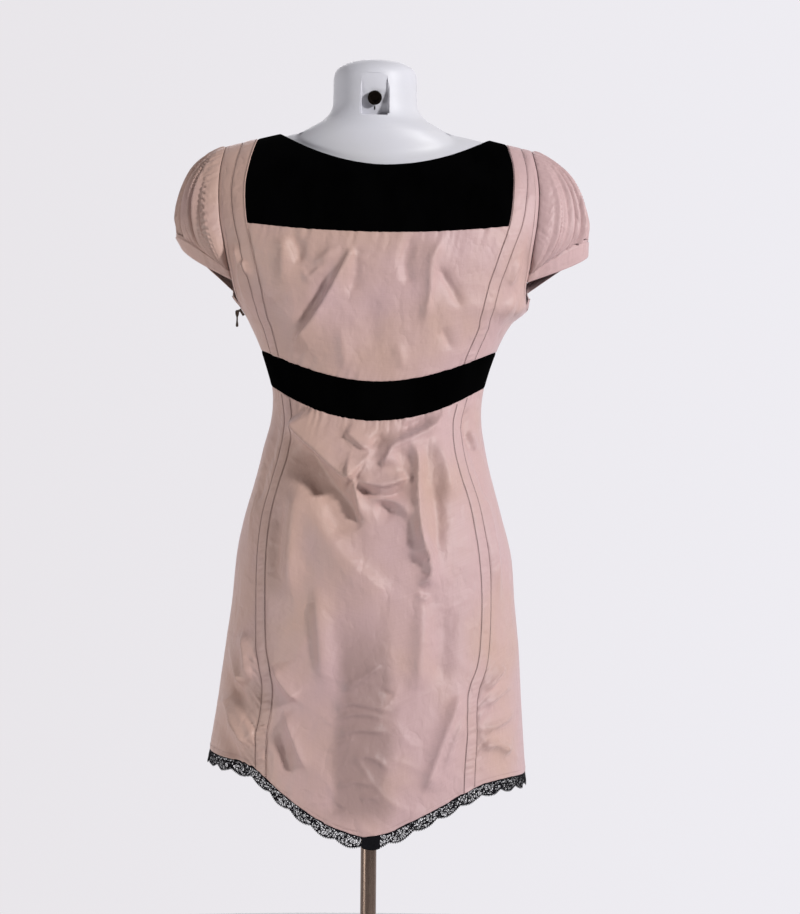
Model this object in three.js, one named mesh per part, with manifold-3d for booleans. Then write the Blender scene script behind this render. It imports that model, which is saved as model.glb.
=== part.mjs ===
// Evening dress worn by a limbless dress form on a round foot, seen best from the back.
// Millimetres, +Z up, the floor at z = 0, the wearer faces -Y and the wearer's left is +X.
// The cloth is built on one garment surface: rings of a rounded outline at each height,
// which tip down towards the shoulders, and folds laid on them. Seams cut it into panels.
import * as THREE from "three";
import { mergeVertices } from "three/addons/utils/BufferGeometryUtils.js";
import Module from "manifold-3d";

const wasm = await Module();
wasm.setup();

// Walls and gaps
const taffetaWall = 1.5;
const velvetWall = 2;
const laceWall = 1.2;
const seamGap = 0.3;
const BACK = 1;
const FRONT = -1;

// The shoulders: heights are those of the ring at the centre, and the rings drop towards the sides
const shoulderTop = 1329;
const shoulderSlope = 0.2605;
const shoulderEase = 60;
const tiltStart = 1105;
const roundStart = 1150;
const armholeBottom = 1101;

// The dress: half width, depth behind and in front of the form's axis, and how square the ring is
const dressRings = [
  { height: 470, half: 198, back: 155, front: 148, centre: 4, square: 2.1 },
  { height: 560, half: 190, back: 148, front: 141, centre: 3.5, square: 2.1 },
  { height: 640, half: 181, back: 140, front: 134, centre: 0, square: 2.1 },
  { height: 700, half: 175, back: 135, front: 129, centre: -2, square: 2.15 },
  { height: 750, half: 169.5, back: 131, front: 124, centre: -3, square: 2.2 },
  { height: 806, half: 164.5, back: 126, front: 118, centre: -3.5, square: 2.2 },
  { height: 850, half: 154.5, back: 120, front: 111, centre: -2.5, square: 2.2 },
  { height: 905, half: 139.5, back: 111, front: 102, centre: -2.5, square: 2.2 },
  { height: 937, half: 132, back: 102, front: 96, centre: -3, square: 2.2 },
  { height: 963, half: 126.5, back: 93, front: 92, centre: -4.5, square: 2.2 },
  { height: 985, half: 125, back: 87, front: 90, centre: -5.5, square: 2.2 },
  { height: 1010, half: 127.5, back: 87, front: 93, centre: -6.5, square: 2.2 },
  { height: 1050, half: 140, back: 92, front: 102, centre: -7, square: 2.3 },
  { height: 1085, half: 157, back: 95, front: 112, centre: -8.5, square: 2.4 },
  { height: 1101, half: 171, back: 96, front: 115, centre: -13, square: 2.4 },
  { height: 1112, half: 177, back: 96.5, front: 116, centre: -10, square: 2.4 },
  { height: 1127, half: 183, back: 97, front: 116, centre: -7.5, square: 2.4 },
  { height: 1150, half: 191, back: 98, front: 113, centre: -7, square: 2.4 },
  { height: 1185, half: 205, back: 98, front: 105, centre: -6.5, square: 2.4 },
  { height: 1225, half: 217, back: 97, front: 98, centre: -6, square: 2.4 },
  { height: 1268, half: 223, back: 95, front: 93, centre: -6, square: 2.4 },
  { height: 1300, half: 222, back: 92, front: 88, centre: -5.5, square: 2.4 },
  { height: 1329, half: 220, back: 90, front: 85, centre: -5, square: 2.4 },
];

// The armhole edge, measured out from the ring's centre
const armholeRows = [
  { height: 1101, back: 171, front: 171 },
  { height: 1112, back: 172.5, front: 178 },
  { height: 1127, back: 174, front: 179 },
  { height: 1150, back: 178, front: 180 },
  { height: 1185, back: 182.5, front: 181 },
  { height: 1225, back: 187.5, front: 183 },
  { height: 1268, back: 189.5, front: 184 },
  { height: 1300, back: 188, front: 184.5 },
  { height: 1329, back: 183, front: 183 },
];

// The inner edge of the narrow strips: its reach from the middle, and how far the pair leans to +X
const backStripRows = [
  { height: 470, reach: 114, lean: 0 },
  { height: 556, reach: 114, lean: 0 },
  { height: 601, reach: 114.5, lean: 0.5 },
  { height: 632, reach: 112, lean: 0 },
  { height: 658, reach: 113.5, lean: -1.5 },
  { height: 681, reach: 120, lean: -3 },
  { height: 703, reach: 124, lean: -2 },
  { height: 757, reach: 126, lean: -1 },
  { height: 811, reach: 124, lean: 1 },
  { height: 852, reach: 118.5, lean: 1.5 },
  { height: 876, reach: 113, lean: 1.5 },
  { height: 905, reach: 104, lean: 2.5 },
  { height: 933, reach: 96.5, lean: 3 },
  { height: 962, reach: 93, lean: 3.5 },
  { height: 992, reach: 98, lean: 3.5 },
  { height: 1037, reach: 108.5, lean: 7 },
  { height: 1075, reach: 121, lean: 5 },
  { height: 1085, reach: 124, lean: 7 },
  { height: 1101, reach: 128, lean: 11.5 },
  { height: 1112, reach: 130.5, lean: 8.5 },
  { height: 1124, reach: 133, lean: 6 },
  { height: 1171, reach: 145, lean: 3 },
  { height: 1217, reach: 155, lean: 0.5 },
  { height: 1266, reach: 158.5, lean: -0.5 },
  { height: 1300, reach: 156, lean: -3 },
  { height: 1329, reach: 149, lean: -4 },
];
const frontStripRows = [
  { height: 470, reach: 130, lean: 0 },
  { height: 703, reach: 121, lean: 0 },
  { height: 806, reach: 115, lean: 0 },
  { height: 905, reach: 102, lean: 0 },
  { height: 985, reach: 94, lean: 0 },
  { height: 1037, reach: 98, lean: 0 },
  { height: 1085, reach: 107, lean: 1 },
  { height: 1101, reach: 109, lean: 5 },
  { height: 1121, reach: 112, lean: 1 },
  { height: 1217, reach: 143, lean: 0 },
  { height: 1266, reach: 153, lean: 0 },
  { height: 1329, reach: 149, lean: -4 },
];
const stripWidth = 16;
const stripShoulderWidth = 19;

// The hem of the taffeta: how far it climbs from the point at the centre back
const hemPoint = 490;
const hemRows = [
  { out: 0, left: 0, right: 0 },
  { out: 30, left: 8, right: 6 },
  { out: 60, left: 23, right: 20 },
  { out: 95, left: 47, right: 37 },
  { out: 130, left: 74, right: 54 },
  { out: 160, left: 81, right: 60 },
  { out: 200, left: 87, right: 61 },
];
const hemLeft = 577;
const hemRight = 551;

// The neckline and the shoulder ends of the yoke
const neckReach = { [1]: 120, [-1]: 130 };
const neckLean = -2;
const neckline = {
  [BACK]: { low: 1269, bow: 1.9 },
  [FRONT]: { low: 1212, bow: 2.3 },
};
const yokeEdge = { [BACK]: 1187, [FRONT]: 1170 };
const yokeEdgeRise = 22;
const yokeEdgeReach = 150;

// The high waistband dips at the centre back
const band = {
  [BACK]: { top: 1013, bottom: 967 },
  [FRONT]: { top: 1040, bottom: 997 },
};
const bandSide = { top: 1051, bottom: 1008 };

// The largest folds: a path of x, z points, how far it stands out, and the width on its two sides
const folds = [
  { face: BACK, path: [[86, 962], [52, 928], [20, 897]], rise: 11, above: 12, below: 20 },
  { face: BACK, path: [[20, 897], [-14, 892], [-46, 898]], rise: 9, above: 10, below: 15 },
  { face: BACK, path: [[-68, 964], [-22, 930], [-14, 896]], rise: 8, above: 13, below: 13 },
  {
    face: BACK,
    path: [[-82, 962], [-50, 926], [-47, 897], [-57, 856], [-58, 800]],
    rise: 9,
    above: 12,
    below: 15,
  },
  { face: BACK, path: [[22, 950], [19, 897], [12, 842]], rise: 8, above: 14, below: 14 },
  { face: BACK, path: [[80, 930], [66, 890], [46, 852], [14, 822]], rise: -9, above: 22, below: 24 },
  { face: BACK, path: [[4, 878], [-18, 864], [-38, 872]], rise: -7, above: 13, below: 13 },
  { face: BACK, path: [[56, 822], [24, 786], [-18, 768], [-52, 782]], rise: -5, above: 24, below: 18 },
  { face: BACK, path: [[-96, 640], [-78, 580], [-62, 528]], rise: -5, above: 15, below: 15 },
  { face: BACK, path: [[94, 650], [84, 600], [68, 560]], rise: -5, above: 15, below: 15 },
  { face: BACK, path: [[40, 640], [6, 668], [-20, 688]], rise: -4, above: 15, below: 15 },
  { face: BACK, path: [[138, 740], [148, 680], [158, 600]], rise: -6, above: 18, below: 18 },
  { face: BACK, path: [[-150, 900], [-158, 780], [-166, 640]], rise: -5, above: 14, below: 14 },
  { face: BACK, path: [[34, 1172], [52, 1122], [92, 1062]], rise: -6, above: 14, below: 20 },
  { face: BACK, path: [[-54, 1160], [-70, 1120], [-88, 1062]], rise: -4, above: 16, below: 16 },
  { face: BACK, path: [[6, 1150], [0, 1090], [-6, 1040]], rise: 4, above: 22, below: 22 },
  { face: FRONT, path: [[70, 960], [82, 820], [92, 620]], rise: 7, above: 24, below: 24 },
  { face: FRONT, path: [[-64, 960], [-80, 800], [-88, 600]], rise: 7, above: 24, below: 24 },
  { face: FRONT, path: [[6, 950], [2, 800], [-4, 600]], rise: -5, above: 28, below: 28 },
  { face: FRONT, path: [[70, 1140], [72, 1122], [72, 1096]], rise: 8, above: 34, below: 34 },
  { face: FRONT, path: [[-70, 1140], [-72, 1122], [-72, 1096]], rise: 8, above: 34, below: 34 },
];
const foldEnd = 0.22;

// The sleeves: where the tips of the gathered edge and the cuff stand, out from the centre line
const sleeveTip = { [1]: { out: 241, height: 1190 }, [-1]: { out: 245, height: 1189 } };
const cuffTop = { [1]: { out: 246, height: 1186 }, [-1]: { out: 248, height: 1184 } };
const cuffFoot = { [1]: { out: 238, height: 1171 }, [-1]: { out: 248, height: 1167 } };
const sleevePuff = 19;
const sleevePuffShape = 1;
const sleevePuffLow = -0.25;
const sleeveHeart = { out: 140, height: 1195 };
const gathers = 12;
const gatherDepth = 2.4;
const sleeveLean = -9;
const sleeveLift = 1;

// The lace
const laceDepth = 16;
const scallopDepth = 4.5;
const scallopsEachSide = 18;

// The dress form: the same kind of rings, then a neck that flares into the shoulders
const formTop = 1325.1;
const formRings = [
  { height: 700, half: 150, back: 104, front: 92 },
  { height: 760, half: 155, back: 109, front: 97 },
  { height: 800, half: 154, back: 110, front: 98 },
  { height: 850, half: 145, back: 103, front: 94 },
  { height: 900, half: 129, back: 92, front: 88 },
  { height: 940, half: 118, back: 82, front: 82 },
  { height: 985, half: 111, back: 75, front: 78 },
  { height: 1010, half: 114, back: 77, front: 80 },
  { height: 1050, half: 125, back: 83, front: 89 },
  { height: 1085, half: 135, back: 87, front: 100 },
  { height: 1120, half: 144, back: 89, front: 104 },
  { height: 1150, half: 152, back: 90, front: 101 },
  { height: 1185, half: 160, back: 90, front: 93 },
  { height: 1225, half: 167, back: 88, front: 86 },
  { height: 1268, half: 171, back: 84, front: 77 },
  { height: 1300, half: 171, back: 72, front: 66 },
  { height: 1326, half: 168, back: 64, front: 52 },
];
const formSquare = 2.4;
const neckRings = [
  { height: 1250, half: 60, back: 20, front: 18 },
  { height: 1275, half: 84, back: 42, front: 38 },
  { height: 1290, half: 94, back: 52, front: 46 },
  { height: 1300, half: 97, back: 55, front: 50 },
  { height: 1311, half: 89, back: 56, front: 52 },
  { height: 1318, half: 79, back: 55, front: 53 },
  { height: 1328, half: 62, back: 52, front: 51 },
  { height: 1341, half: 52, back: 50.5, front: 50 },
  { height: 1360, half: 50, back: 50, front: 49 },
  { height: 1380, half: 49.5, back: 49, front: 48.5 },
  { height: 1389, half: 45.5, back: 45, front: 44.5 },
  { height: 1395, half: 35, back: 36, front: 36 },
  { height: 1398, half: 24, back: 25, front: 25 },
  { height: 1399, half: 10, back: 11, front: 11 },
];
const neckBlend = 6;
const formSlices = [
  700, 704, 712, 760, 810, 860, 910, 950, 985, 1020, 1060, 1100, 1140, 1180, 1215, 1242, 1262, 1276,
  1286, 1294, 1300, 1306, 1312, 1319, 1328, 1340, 1358, 1380, 1388, 1394, 1399,
];
const formFootScale = { 700: 0.93, 704: 0.98 };
const formColumns = 15;

// The bracket recess and its socket at the back of the neck
const recess = { half: 17.6, low: 1329, high: 1381, depthLow: 35, depthHigh: 49 };
const socket = { outer: 8.4, bore: 4.8, length: 6, floor: 2, height: 1351 };

// The stand
const poleRadius = 9.5;
const poleFlange = { radius: 34, thick: 5 };
const foot = { radius: 165, thick: 8, lip: 3 };
const footCollar = { radius: 19, height: 26, chamfer: 2 };
const gap = 0.3;

// The side zip under the wearer's left arm
const zip = { top: 1096, bottom: 900, half: 4, wall: 1, inset: 1.6, rows: 14 };
const slider = { seat: 1098, height: 9, width: 5, thick: 3, clear: 0.6 };
const pull = {
  length: 19, half: 1.6, thick: 1.2, eye: 2.3, bore: 1.1, bulb: 2.5,
  neck: { half: 0.9, from: 7, to: 9 }, shoulder: { upper: 5, lower: 13 },
};
const pin = { radius: 0.7, length: 4.6 };
const eyeClear = 2.8;
const earLength = 4.3;
const earWall = 1;
const earHeight = 2.6;

// Materials
const taffeta = new THREE.MeshStandardMaterial({ color: 0xb6968f, roughness: 0.45 });
const velvet = new THREE.MeshStandardMaterial({ color: 0x060506, roughness: 0.95 });
const lace = new THREE.MeshStandardMaterial({ color: 0x0d0d10, roughness: 0.8 });
const formShell = new THREE.MeshStandardMaterial({ color: 0xd9d9db, roughness: 0.5 });
const steel = new THREE.MeshStandardMaterial({ color: 0x8d7a68, roughness: 0.25, metalness: 1 });
const zipTape = new THREE.MeshStandardMaterial({ color: 0xa1857e, roughness: 0.7 });
const zipMetal = new THREE.MeshStandardMaterial({ color: 0x6d625c, roughness: 0.35, metalness: 1 });

const dress = new THREE.Group();

// Reads a smooth curve through the named column of a table at the given place.
function read(rows, column, at, along = "height") {
  const last = rows.length - 1;
  if (at <= rows[0][along]) return rows[0][column];
  if (at >= rows[last][along]) return rows[last][column];
  let i = 0;
  while (rows[i + 1][along] < at) i += 1;
  const slope = (k) => {
    const a = rows[Math.max(k - 1, 0)];
    const b = rows[Math.min(k + 1, last)];
    return (b[column] - a[column]) / (b[along] - a[along]);
  };
  const span = rows[i + 1][along] - rows[i][along];
  const t = (at - rows[i][along]) / span;
  const [t2, t3] = [t * t, t * t * t];
  return (
    rows[i][column] * (2 * t3 - 3 * t2 + 1) +
    slope(i) * span * (t3 - 2 * t2 + t) +
    rows[i + 1][column] * (3 * t2 - 2 * t3) +
    slope(i + 1) * span * (t3 - t2)
  );
}

const mix = (a, b, t) => a + (b - a) * t;
const clamp = (v, low, high) => Math.min(Math.max(v, low), high);

// How much of the shoulder slope a ring has taken on, from none at the underarm to all at the top.
function tiltShare(height, top = shoulderTop) {
  const t = clamp((height - tiltStart) / (top - tiltStart), 0, 1);
  return t * t * (3 - 2 * t);
}

function shoulderDrop(out) {
  return shoulderSlope * (Math.hypot(out, shoulderEase) - shoulderEase);
}

// Rounds the rings in to nothing at the shoulder line.
function shoulderRound(height, top = shoulderTop) {
  const t = clamp((height - roundStart) / (top - roundStart), 0, 1);
  return Math.sqrt(1 - t * t);
}

// How far the folds stand out at a place on the front or back.
function foldAt(face, x, z) {
  let sum = 0;
  for (const fold of folds) {
    if (fold.face !== face) continue;
    let near = Infinity;
    let [at, side] = [0, 1];
    const steps = fold.path.length - 1;
    for (let i = 0; i < steps; i += 1) {
      const [ax, az] = fold.path[i];
      const [bx, bz] = fold.path[i + 1];
      const [dx, dz] = [bx - ax, bz - az];
      const t = clamp(((x - ax) * dx + (z - az) * dz) / (dx * dx + dz * dz), 0, 1);
      const away = Math.hypot(x - ax - t * dx, z - az - t * dz);
      if (away >= near) continue;
      near = away;
      at = (i + t) / steps;
      side = (x - ax) * dz - (z - az) * dx;
    }
    const width = side > 0 ? fold.above : fold.below;
    const ends = clamp(Math.min(at, 1 - at) / foldEnd, 0, 1);
    sum += fold.rise * Math.exp(-((near / width) ** 2)) * mix(0.25, 1, ends * (2 - ends));
  }
  return sum;
}

// A point of the garment's outside: angle 0 is the middle of that face, a quarter turn is the side.
function garmentPoint(face, angle, height) {
  const half = read(dressRings, "half", height);
  const square = read(dressRings, "square", height);
  const depth = read(dressRings, face === BACK ? "back" : "front", height) * shoulderRound(height);
  const across = Math.sin(angle);
  const reach = half * across;
  const x = reach + read(dressRings, "centre", height);
  const y = face * depth * Math.max(0, 1 - Math.abs(across) ** square) ** (1 / square);
  const z = height - tiltShare(height) * shoulderDrop(x);
  const fold = foldAt(face, x, z) * shoulderRound(height);
  const outward = new THREE.Vector2(reach / half ** 2, y / Math.max(depth ** 2, 1)).normalize();
  return new THREE.Vector3(x + fold * outward.x, y + fold * outward.y, z);
}

// A point with the direction that faces out of the cloth there.
function garmentSpot(face, angle, height) {
  const turn = 0.01;
  const rise = 0.5;
  const quarter = Math.PI / 2;
  const p = (a, h) => garmentPoint(face, clamp(a, -quarter, quarter), Math.min(h, shoulderTop));
  const along = p(angle + turn, height).sub(p(angle - turn, height));
  const up = p(angle, height + rise).sub(p(angle, height - rise));
  const normal = up.cross(along).multiplyScalar(face).normalize();
  if (quarter - Math.abs(angle) < 1e-4 || shoulderTop - height < 1e-3) normal.setY(0).normalize();
  return { point: p(angle, height), normal };
}

// The angle of a seam line at a height. Side is 1 at +X and -1 at -X.
function stripInner(face, side, height) {
  const rows = face === BACK ? backStripRows : frontStripRows;
  const out = read(rows, "reach", height) + side * read(rows, "lean", height);
  return Math.asin(clamp(out / read(dressRings, "half", height), 0, 1));
}

function stripOuter(face, side, height) {
  const inner = stripInner(face, side, height);
  const step = 0.02;
  const arc = garmentPoint(face, inner + step, height).distanceTo(garmentPoint(face, inner, height));
  return inner + (step * mix(stripWidth, stripShoulderWidth, tiltShare(height))) / arc;
}

function sideEdge(face, height) {
  if (height <= armholeBottom + 1e-6) return Math.PI / 2;
  const out = read(armholeRows, face === BACK ? "back" : "front", height);
  return Math.asin(clamp(out / read(dressRings, "half", height), 0, 1));
}

// The angle of a column of the cloth grid at a height.
function columnAngle(face, column, height) {
  const { zone, side, share } = column;
  const inner = stripInner(face, side, height);
  if (zone === "middle") {
    const out = share * Math.sin(inner);
    return side * Math.asin(out);
  }
  const outer = stripOuter(face, side, height);
  if (zone === "strip") return side * mix(inner, outer, share);
  return side * mix(outer, sideEdge(face, height), share);
}

// Heights of the seams that run across, out from the middle
const acrossSeams = {
  hem(face, angle, height) {
    const side = Math.sin(angle);
    const out = Math.abs(side) * read(dressRings, "half", height);
    const level = mix(hemRight, hemLeft, (1 + side) / 2);
    if (face === FRONT) return level;
    return hemPoint + read(hemRows, side > 0 ? "left" : "right", out, "out");
  },
  bandBottom(face, angle) {
    return mix(band[face].bottom, bandSide.bottom, Math.sin(angle) ** 2);
  },
  bandTop(face, angle) {
    return mix(band[face].top, bandSide.top, Math.sin(angle) ** 2);
  },
  yoke(face, angle, height) {
    const out = Math.sin(angle) * read(dressRings, "half", height);
    return yokeEdge[face] + yokeEdgeRise * (out / yokeEdgeReach) ** 2;
  },
  top(face, angle, height) {
    const out = Math.sin(angle) * read(dressRings, "half", height) - neckLean;
    const share = Math.abs(out) / neckReach[out > 0 ? 1 : -1];
    const { low, bow } = neckline[face];
    return Math.min(shoulderTop, low + (shoulderTop - low) * share ** bow);
  },
};

// The height where a column meets a seam that runs across.
function seamHeight(face, column, seam) {
  let height = { hem: 550, bandBottom: 985, bandTop: 1030, yoke: 1195, top: 1310 }[seam];
  if (seam === "top" && column.zone !== "middle") return shoulderTop;
  for (let i = 0; i < 12; i += 1) {
    height = mix(height, acrossSeams[seam](face, columnAngle(face, column, height), height), 0.7);
  }
  return height;
}

// The last share but one puts a column at the neckline's shoulder end
const middleShares = {
  [1]: [0, 0.18, 0.36, 0.53, 0.67, 0.76, 0.815, 1],
  [-1]: [0, 0.19, 0.38, 0.56, 0.71, 0.81, 0.864, 1],
};
const sideSteps = 4;
const skirtRows = 20;
const bandRows = 2;
// The shares put a row near the armhole's lowest point, and rows at the ends of cuff and sleeve
const bodiceShares = [0, 0.1, 0.2, 0.293, 0.39, 0.49, 0.56, 0.7, 0.85, 1];
const topRows = 6;
const cuffRow = 5;
const sleeveRow = 6;

function columnsOf(zone, side) {
  if (zone === "strip") return [0, 1].map((share) => ({ zone, side, share }));
  if (zone === "side") {
    const steps = [...Array(sideSteps + 1).keys()];
    return steps.map((i) => ({ zone, side, share: i / sideSteps }));
  }
  const left = middleShares[1].map((share) => ({ zone, side: 1, share }));
  const right = middleShares[-1].slice(1).map((share) => ({ zone, side: -1, share }));
  return [...right.reverse(), ...left];
}

// Every column of a face, from the -X edge to the +X edge
function columnsAcross() {
  const half = (side) => [
    ...columnsOf("middle", 1).filter((c) => c.share === 1 && c.side === side),
    ...columnsOf("strip", side).slice(1),
    ...columnsOf("side", side).slice(1),
  ];
  return [...half(-1).reverse(), ...columnsOf("middle", 1).slice(1, -1), ...half(1)];
}

// The spots where a column is cut by rows between two seams.
function columnSpots(face, column, from, to, shares) {
  const low = seamHeight(face, column, from);
  const high = seamHeight(face, column, to);
  return shares.map((share) => {
    const height = mix(low, high, share);
    return garmentSpot(face, columnAngle(face, column, height), height);
  });
}

const evenShares = (count) => [...Array(count + 1).keys()].map((i) => i / count);
const easedShares = evenShares(topRows).map((t) => 1 - (1 - t) ** 2);

function skirtGrid(face, columns) {
  return columns.map((c) => columnSpots(face, c, "hem", "bandBottom", evenShares(skirtRows)));
}

function bodiceGrid(face, columns, withTop) {
  return columns.map((c) => {
    const lower = columnSpots(face, c, "bandTop", "yoke", bodiceShares);
    if (!withTop) return lower;
    return [...lower, ...columnSpots(face, c, "yoke", "top", easedShares).slice(1)];
  });
}

function yokeGrid(face, columns) {
  return columns.map((c) => columnSpots(face, c, "yoke", "top", easedShares));
}

// The waistband's columns meet the bodice's above and the skirt's below.
function bandGrid(face, columns) {
  return columns.map((c) => {
    const [low, high] = [seamHeight(face, c, "bandBottom"), seamHeight(face, c, "bandTop")];
    const [a, b] = [columnAngle(face, c, low), columnAngle(face, c, high)];
    return evenShares(bandRows).map((t) => garmentSpot(face, mix(a, b, t), mix(low, high, t)));
  });
}

// Draws the border of a grid of spots inwards, so that it stands clear of its neighbours.
function drawnIn(grid, by) {
  const [wide, tall] = [grid.length - 1, grid[0].length - 1];
  return grid.map((column, i) =>
    column.map((spot, j) => {
      const point = spot.point.clone();
      const pulls = [
        [i === 0, 1, 0],
        [i === wide, -1, 0],
        [j === 0, 0, 1],
        [j === tall, 0, -1],
      ];
      for (const [onEdge, di, dj] of pulls) {
        if (!onEdge) continue;
        const inside = grid[i + di][j + dj].point;
        point.add(inside.clone().sub(spot.point).normalize().multiplyScalar(by));
      }
      return { point, normal: spot.normal };
    }),
  );
}

// One closed wall from a grid of spots: the outside, the inside and the rim.
function wallGeometry(grid, wall) {
  const [wide, tall] = [grid.length, grid[0].length];
  const places = [];
  for (const depth of [0, wall]) {
    for (const column of grid) {
      for (const { point, normal } of column) {
        places.push(...point.clone().addScaledVector(normal, -depth));
      }
    }
  }
  const inner = wide * tall;
  const faces = [];
  const quad = (a, b, c, d) => faces.push(a, b, c, a, c, d);
  for (let i = 0; i + 1 < wide; i += 1) {
    for (let j = 0; j + 1 < tall; j += 1) {
      const a = i * tall + j;
      quad(a, a + tall, a + tall + 1, a + 1);
      quad(inner + a, inner + a + 1, inner + a + tall + 1, inner + a + tall);
    }
  }
  const rim = [];
  for (let i = 0; i < wide; i += 1) rim.push(i * tall);
  for (let j = 1; j < tall; j += 1) rim.push((wide - 1) * tall + j);
  for (let i = wide - 2; i >= 0; i -= 1) rim.push(i * tall + tall - 1);
  for (let j = tall - 2; j > 0; j -= 1) rim.push(j);
  rim.forEach((a, k) => {
    const b = rim[(k + 1) % rim.length];
    quad(a, inner + a, inner + b, b);
  });
  return facingOut(places, faces);
}

// Builds the geometry, with its faces turned round if they point inwards.
function facingOut(places, faces) {
  let volume = 0;
  const at = (k) => new THREE.Vector3(...places.slice(3 * k, 3 * k + 3));
  for (let f = 0; f < faces.length; f += 3) {
    volume += at(faces[f]).dot(at(faces[f + 1]).cross(at(faces[f + 2])));
  }
  const geometry = new THREE.BufferGeometry();
  geometry.setAttribute("position", new THREE.Float32BufferAttribute(places, 3));
  geometry.setIndex(volume < 0 ? faces.reverse() : faces);
  geometry.computeVertexNormals();
  return geometry;
}

function addMesh(name, geometry, material) {
  const mesh = new THREE.Mesh(geometry, material.clone());
  mesh.name = name;
  dress.add(mesh);
  return mesh;
}

function addCloth(name, grid, wall, material) {
  addMesh(name, wallGeometry(drawnIn(grid, seamGap / 2), wall), material);
}

// Panels of one face: the middle ones run across, the rest come as a pair
function addFace(face) {
  const where = face === BACK ? "back" : "front";
  const middle = columnsOf("middle", 1);
  addCloth(`skirt_${where}`, skirtGrid(face, middle), taffetaWall, taffeta);
  addCloth(`bodice_${where}`, bodiceGrid(face, middle, false), taffetaWall, taffeta);
  addCloth(`yoke_${where}`, yokeGrid(face, middle), velvetWall, velvet);
  addCloth(`waistband_${where}`, bandGrid(face, columnsAcross()), velvetWall, velvet);
  for (const [side, hand] of [[1, "left"], [-1, "right"]]) {
    for (const zone of ["strip", "side"]) {
      const columns = columnsOf(zone, side);
      addCloth(`skirt_${where}_${zone}_${hand}`, skirtGrid(face, columns), taffetaWall, taffeta);
      addCloth(`bodice_${where}_${zone}_${hand}`, bodiceGrid(face, columns, true), taffetaWall, taffeta);
    }
  }
  addLace(face, `lace_${where}`);
}

// The lace hangs from the hem's own points, and its lower edge is scalloped.
function addLace(face, name) {
  const hem = skirtGrid(face, columnsAcross()).map((column) => ({
    ...column[0],
    down: column[0].point.clone().sub(column[1].point).normalize(),
  }));
  const lengths = [0];
  hem.slice(1).forEach((spot, i) => lengths.push(lengths[i] + spot.point.distanceTo(hem[i].point)));
  const total = lengths[lengths.length - 1];
  const perScallop = 4;
  const grid = [];
  hem.slice(1).forEach((end, i) => {
    const start = hem[i];
    const share = (lengths[i + 1] - lengths[i]) / total;
    const steps = Math.max(1, Math.round(share * scallopsEachSide * perScallop));
    for (let k = i === 0 ? 0 : 1; k <= steps; k += 1) {
      const t = k / steps;
      const along = (mix(lengths[i], lengths[i + 1], t) / total) * scallopsEachSide;
      const scallop = Math.abs(Math.sin(Math.PI * along));
      const point = start.point.clone().lerp(end.point, t);
      const down = start.down.clone().lerp(end.down, t).normalize();
      const normal = start.normal.clone().lerp(end.normal, t).normalize();
      const reach = laceDepth - scallopDepth * (1 - scallop);
      grid.push([0, 1].map((r) => ({
        point: point.clone().addScaledVector(down, seamGap / 2 + r * reach),
        normal,
      })));
    }
  });
  addCloth(name, grid, laceWall, lace);
}

// The armhole edge of one side: from the back, over the shoulder, to the front
function armholeSpots(side, firstRow) {
  const edge = { zone: "side", side, share: 1 };
  const [back] = bodiceGrid(BACK, [edge], true);
  const [front] = bodiceGrid(FRONT, [edge], true);
  const rows = back.slice(firstRow);
  return [...rows, ...front.slice(firstRow, -1).reverse()];
}

// A half turn from the back end to the front end, through a tip that stands out to the side.
function halfTurn(back, front, tip, t) {
  const middle = back.clone().lerp(front, 0.5);
  const out = tip.clone().sub(middle);
  const spread = back.clone().sub(front).multiplyScalar(0.5);
  return middle
    .addScaledVector(out, Math.sin(Math.PI * t))
    .addScaledVector(spread, Math.cos(Math.PI * t));
}

const tipOf = (side, { out, height }) => new THREE.Vector3(side * out + sleeveLean, 0, height);

// A puffed cap sleeve, gathered into its cuff.
function addSleeve(side, hand) {
  const armhole = armholeSpots(side, sleeveRow);
  const perStep = 2;
  const sleeveRows = [0, 0.12, 0.32, 0.58, 0.82, 1];
  const heart = tipOf(side, sleeveHeart);
  const [back, front] = [armhole[0].point, armhole[armhole.length - 1].point];
  const clear = new THREE.Vector3(0, 0, seamGap);
  const lift = new THREE.Vector3(side, 0, 0).multiplyScalar(sleeveLift);
  const columns = (armhole.length - 1) * perStep;
  const sheet = (t, r) => {
    const place = Math.min(t * (armhole.length - 1), armhole.length - 1 - 1e-9);
    const i = Math.floor(place);
    const root = armhole[i].point.clone().lerp(armhole[i + 1].point, place - i).add(lift);
    const end = halfTurn(back, front, tipOf(side, sleeveTip[side]), t).add(clear).add(lift);
    const point = root.lerp(end, r);
    const out = point.clone().sub(heart).normalize();
    const swell = Math.sin(Math.PI * t) ** 0.6;
    const fullness = mix(1, 2 * r, sleevePuffLow) * Math.max(0, 4 * r * (1 - r)) ** sleevePuffShape;
    const puff = sleevePuff * swell * fullness;
    const ripple = gatherDepth * swell * Math.sin(2 * Math.PI * gathers * t) * r * r * (1 - 0.35 * r);
    return point.addScaledVector(out, puff + ripple);
  };
  const step = 0.004;
  const spots = evenShares(columns).map((t) =>
    sleeveRows.map((r) => {
      const along = sheet(Math.min(1, t + step), r).sub(sheet(Math.max(0, t - step), r));
      const down = sheet(t, Math.min(1, r + step)).sub(sheet(t, Math.max(0, r - step)));
      const normal = along.cross(down).normalize();
      const point = sheet(t, r);
      if (normal.dot(point.clone().sub(heart)) < 0) normal.negate();
      if (r === 0) normal.setX(0).normalize();
      return { point, normal };
    }),
  );
  addCloth(`sleeve_${hand}`, spots, taffetaWall, taffeta);
}

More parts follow.
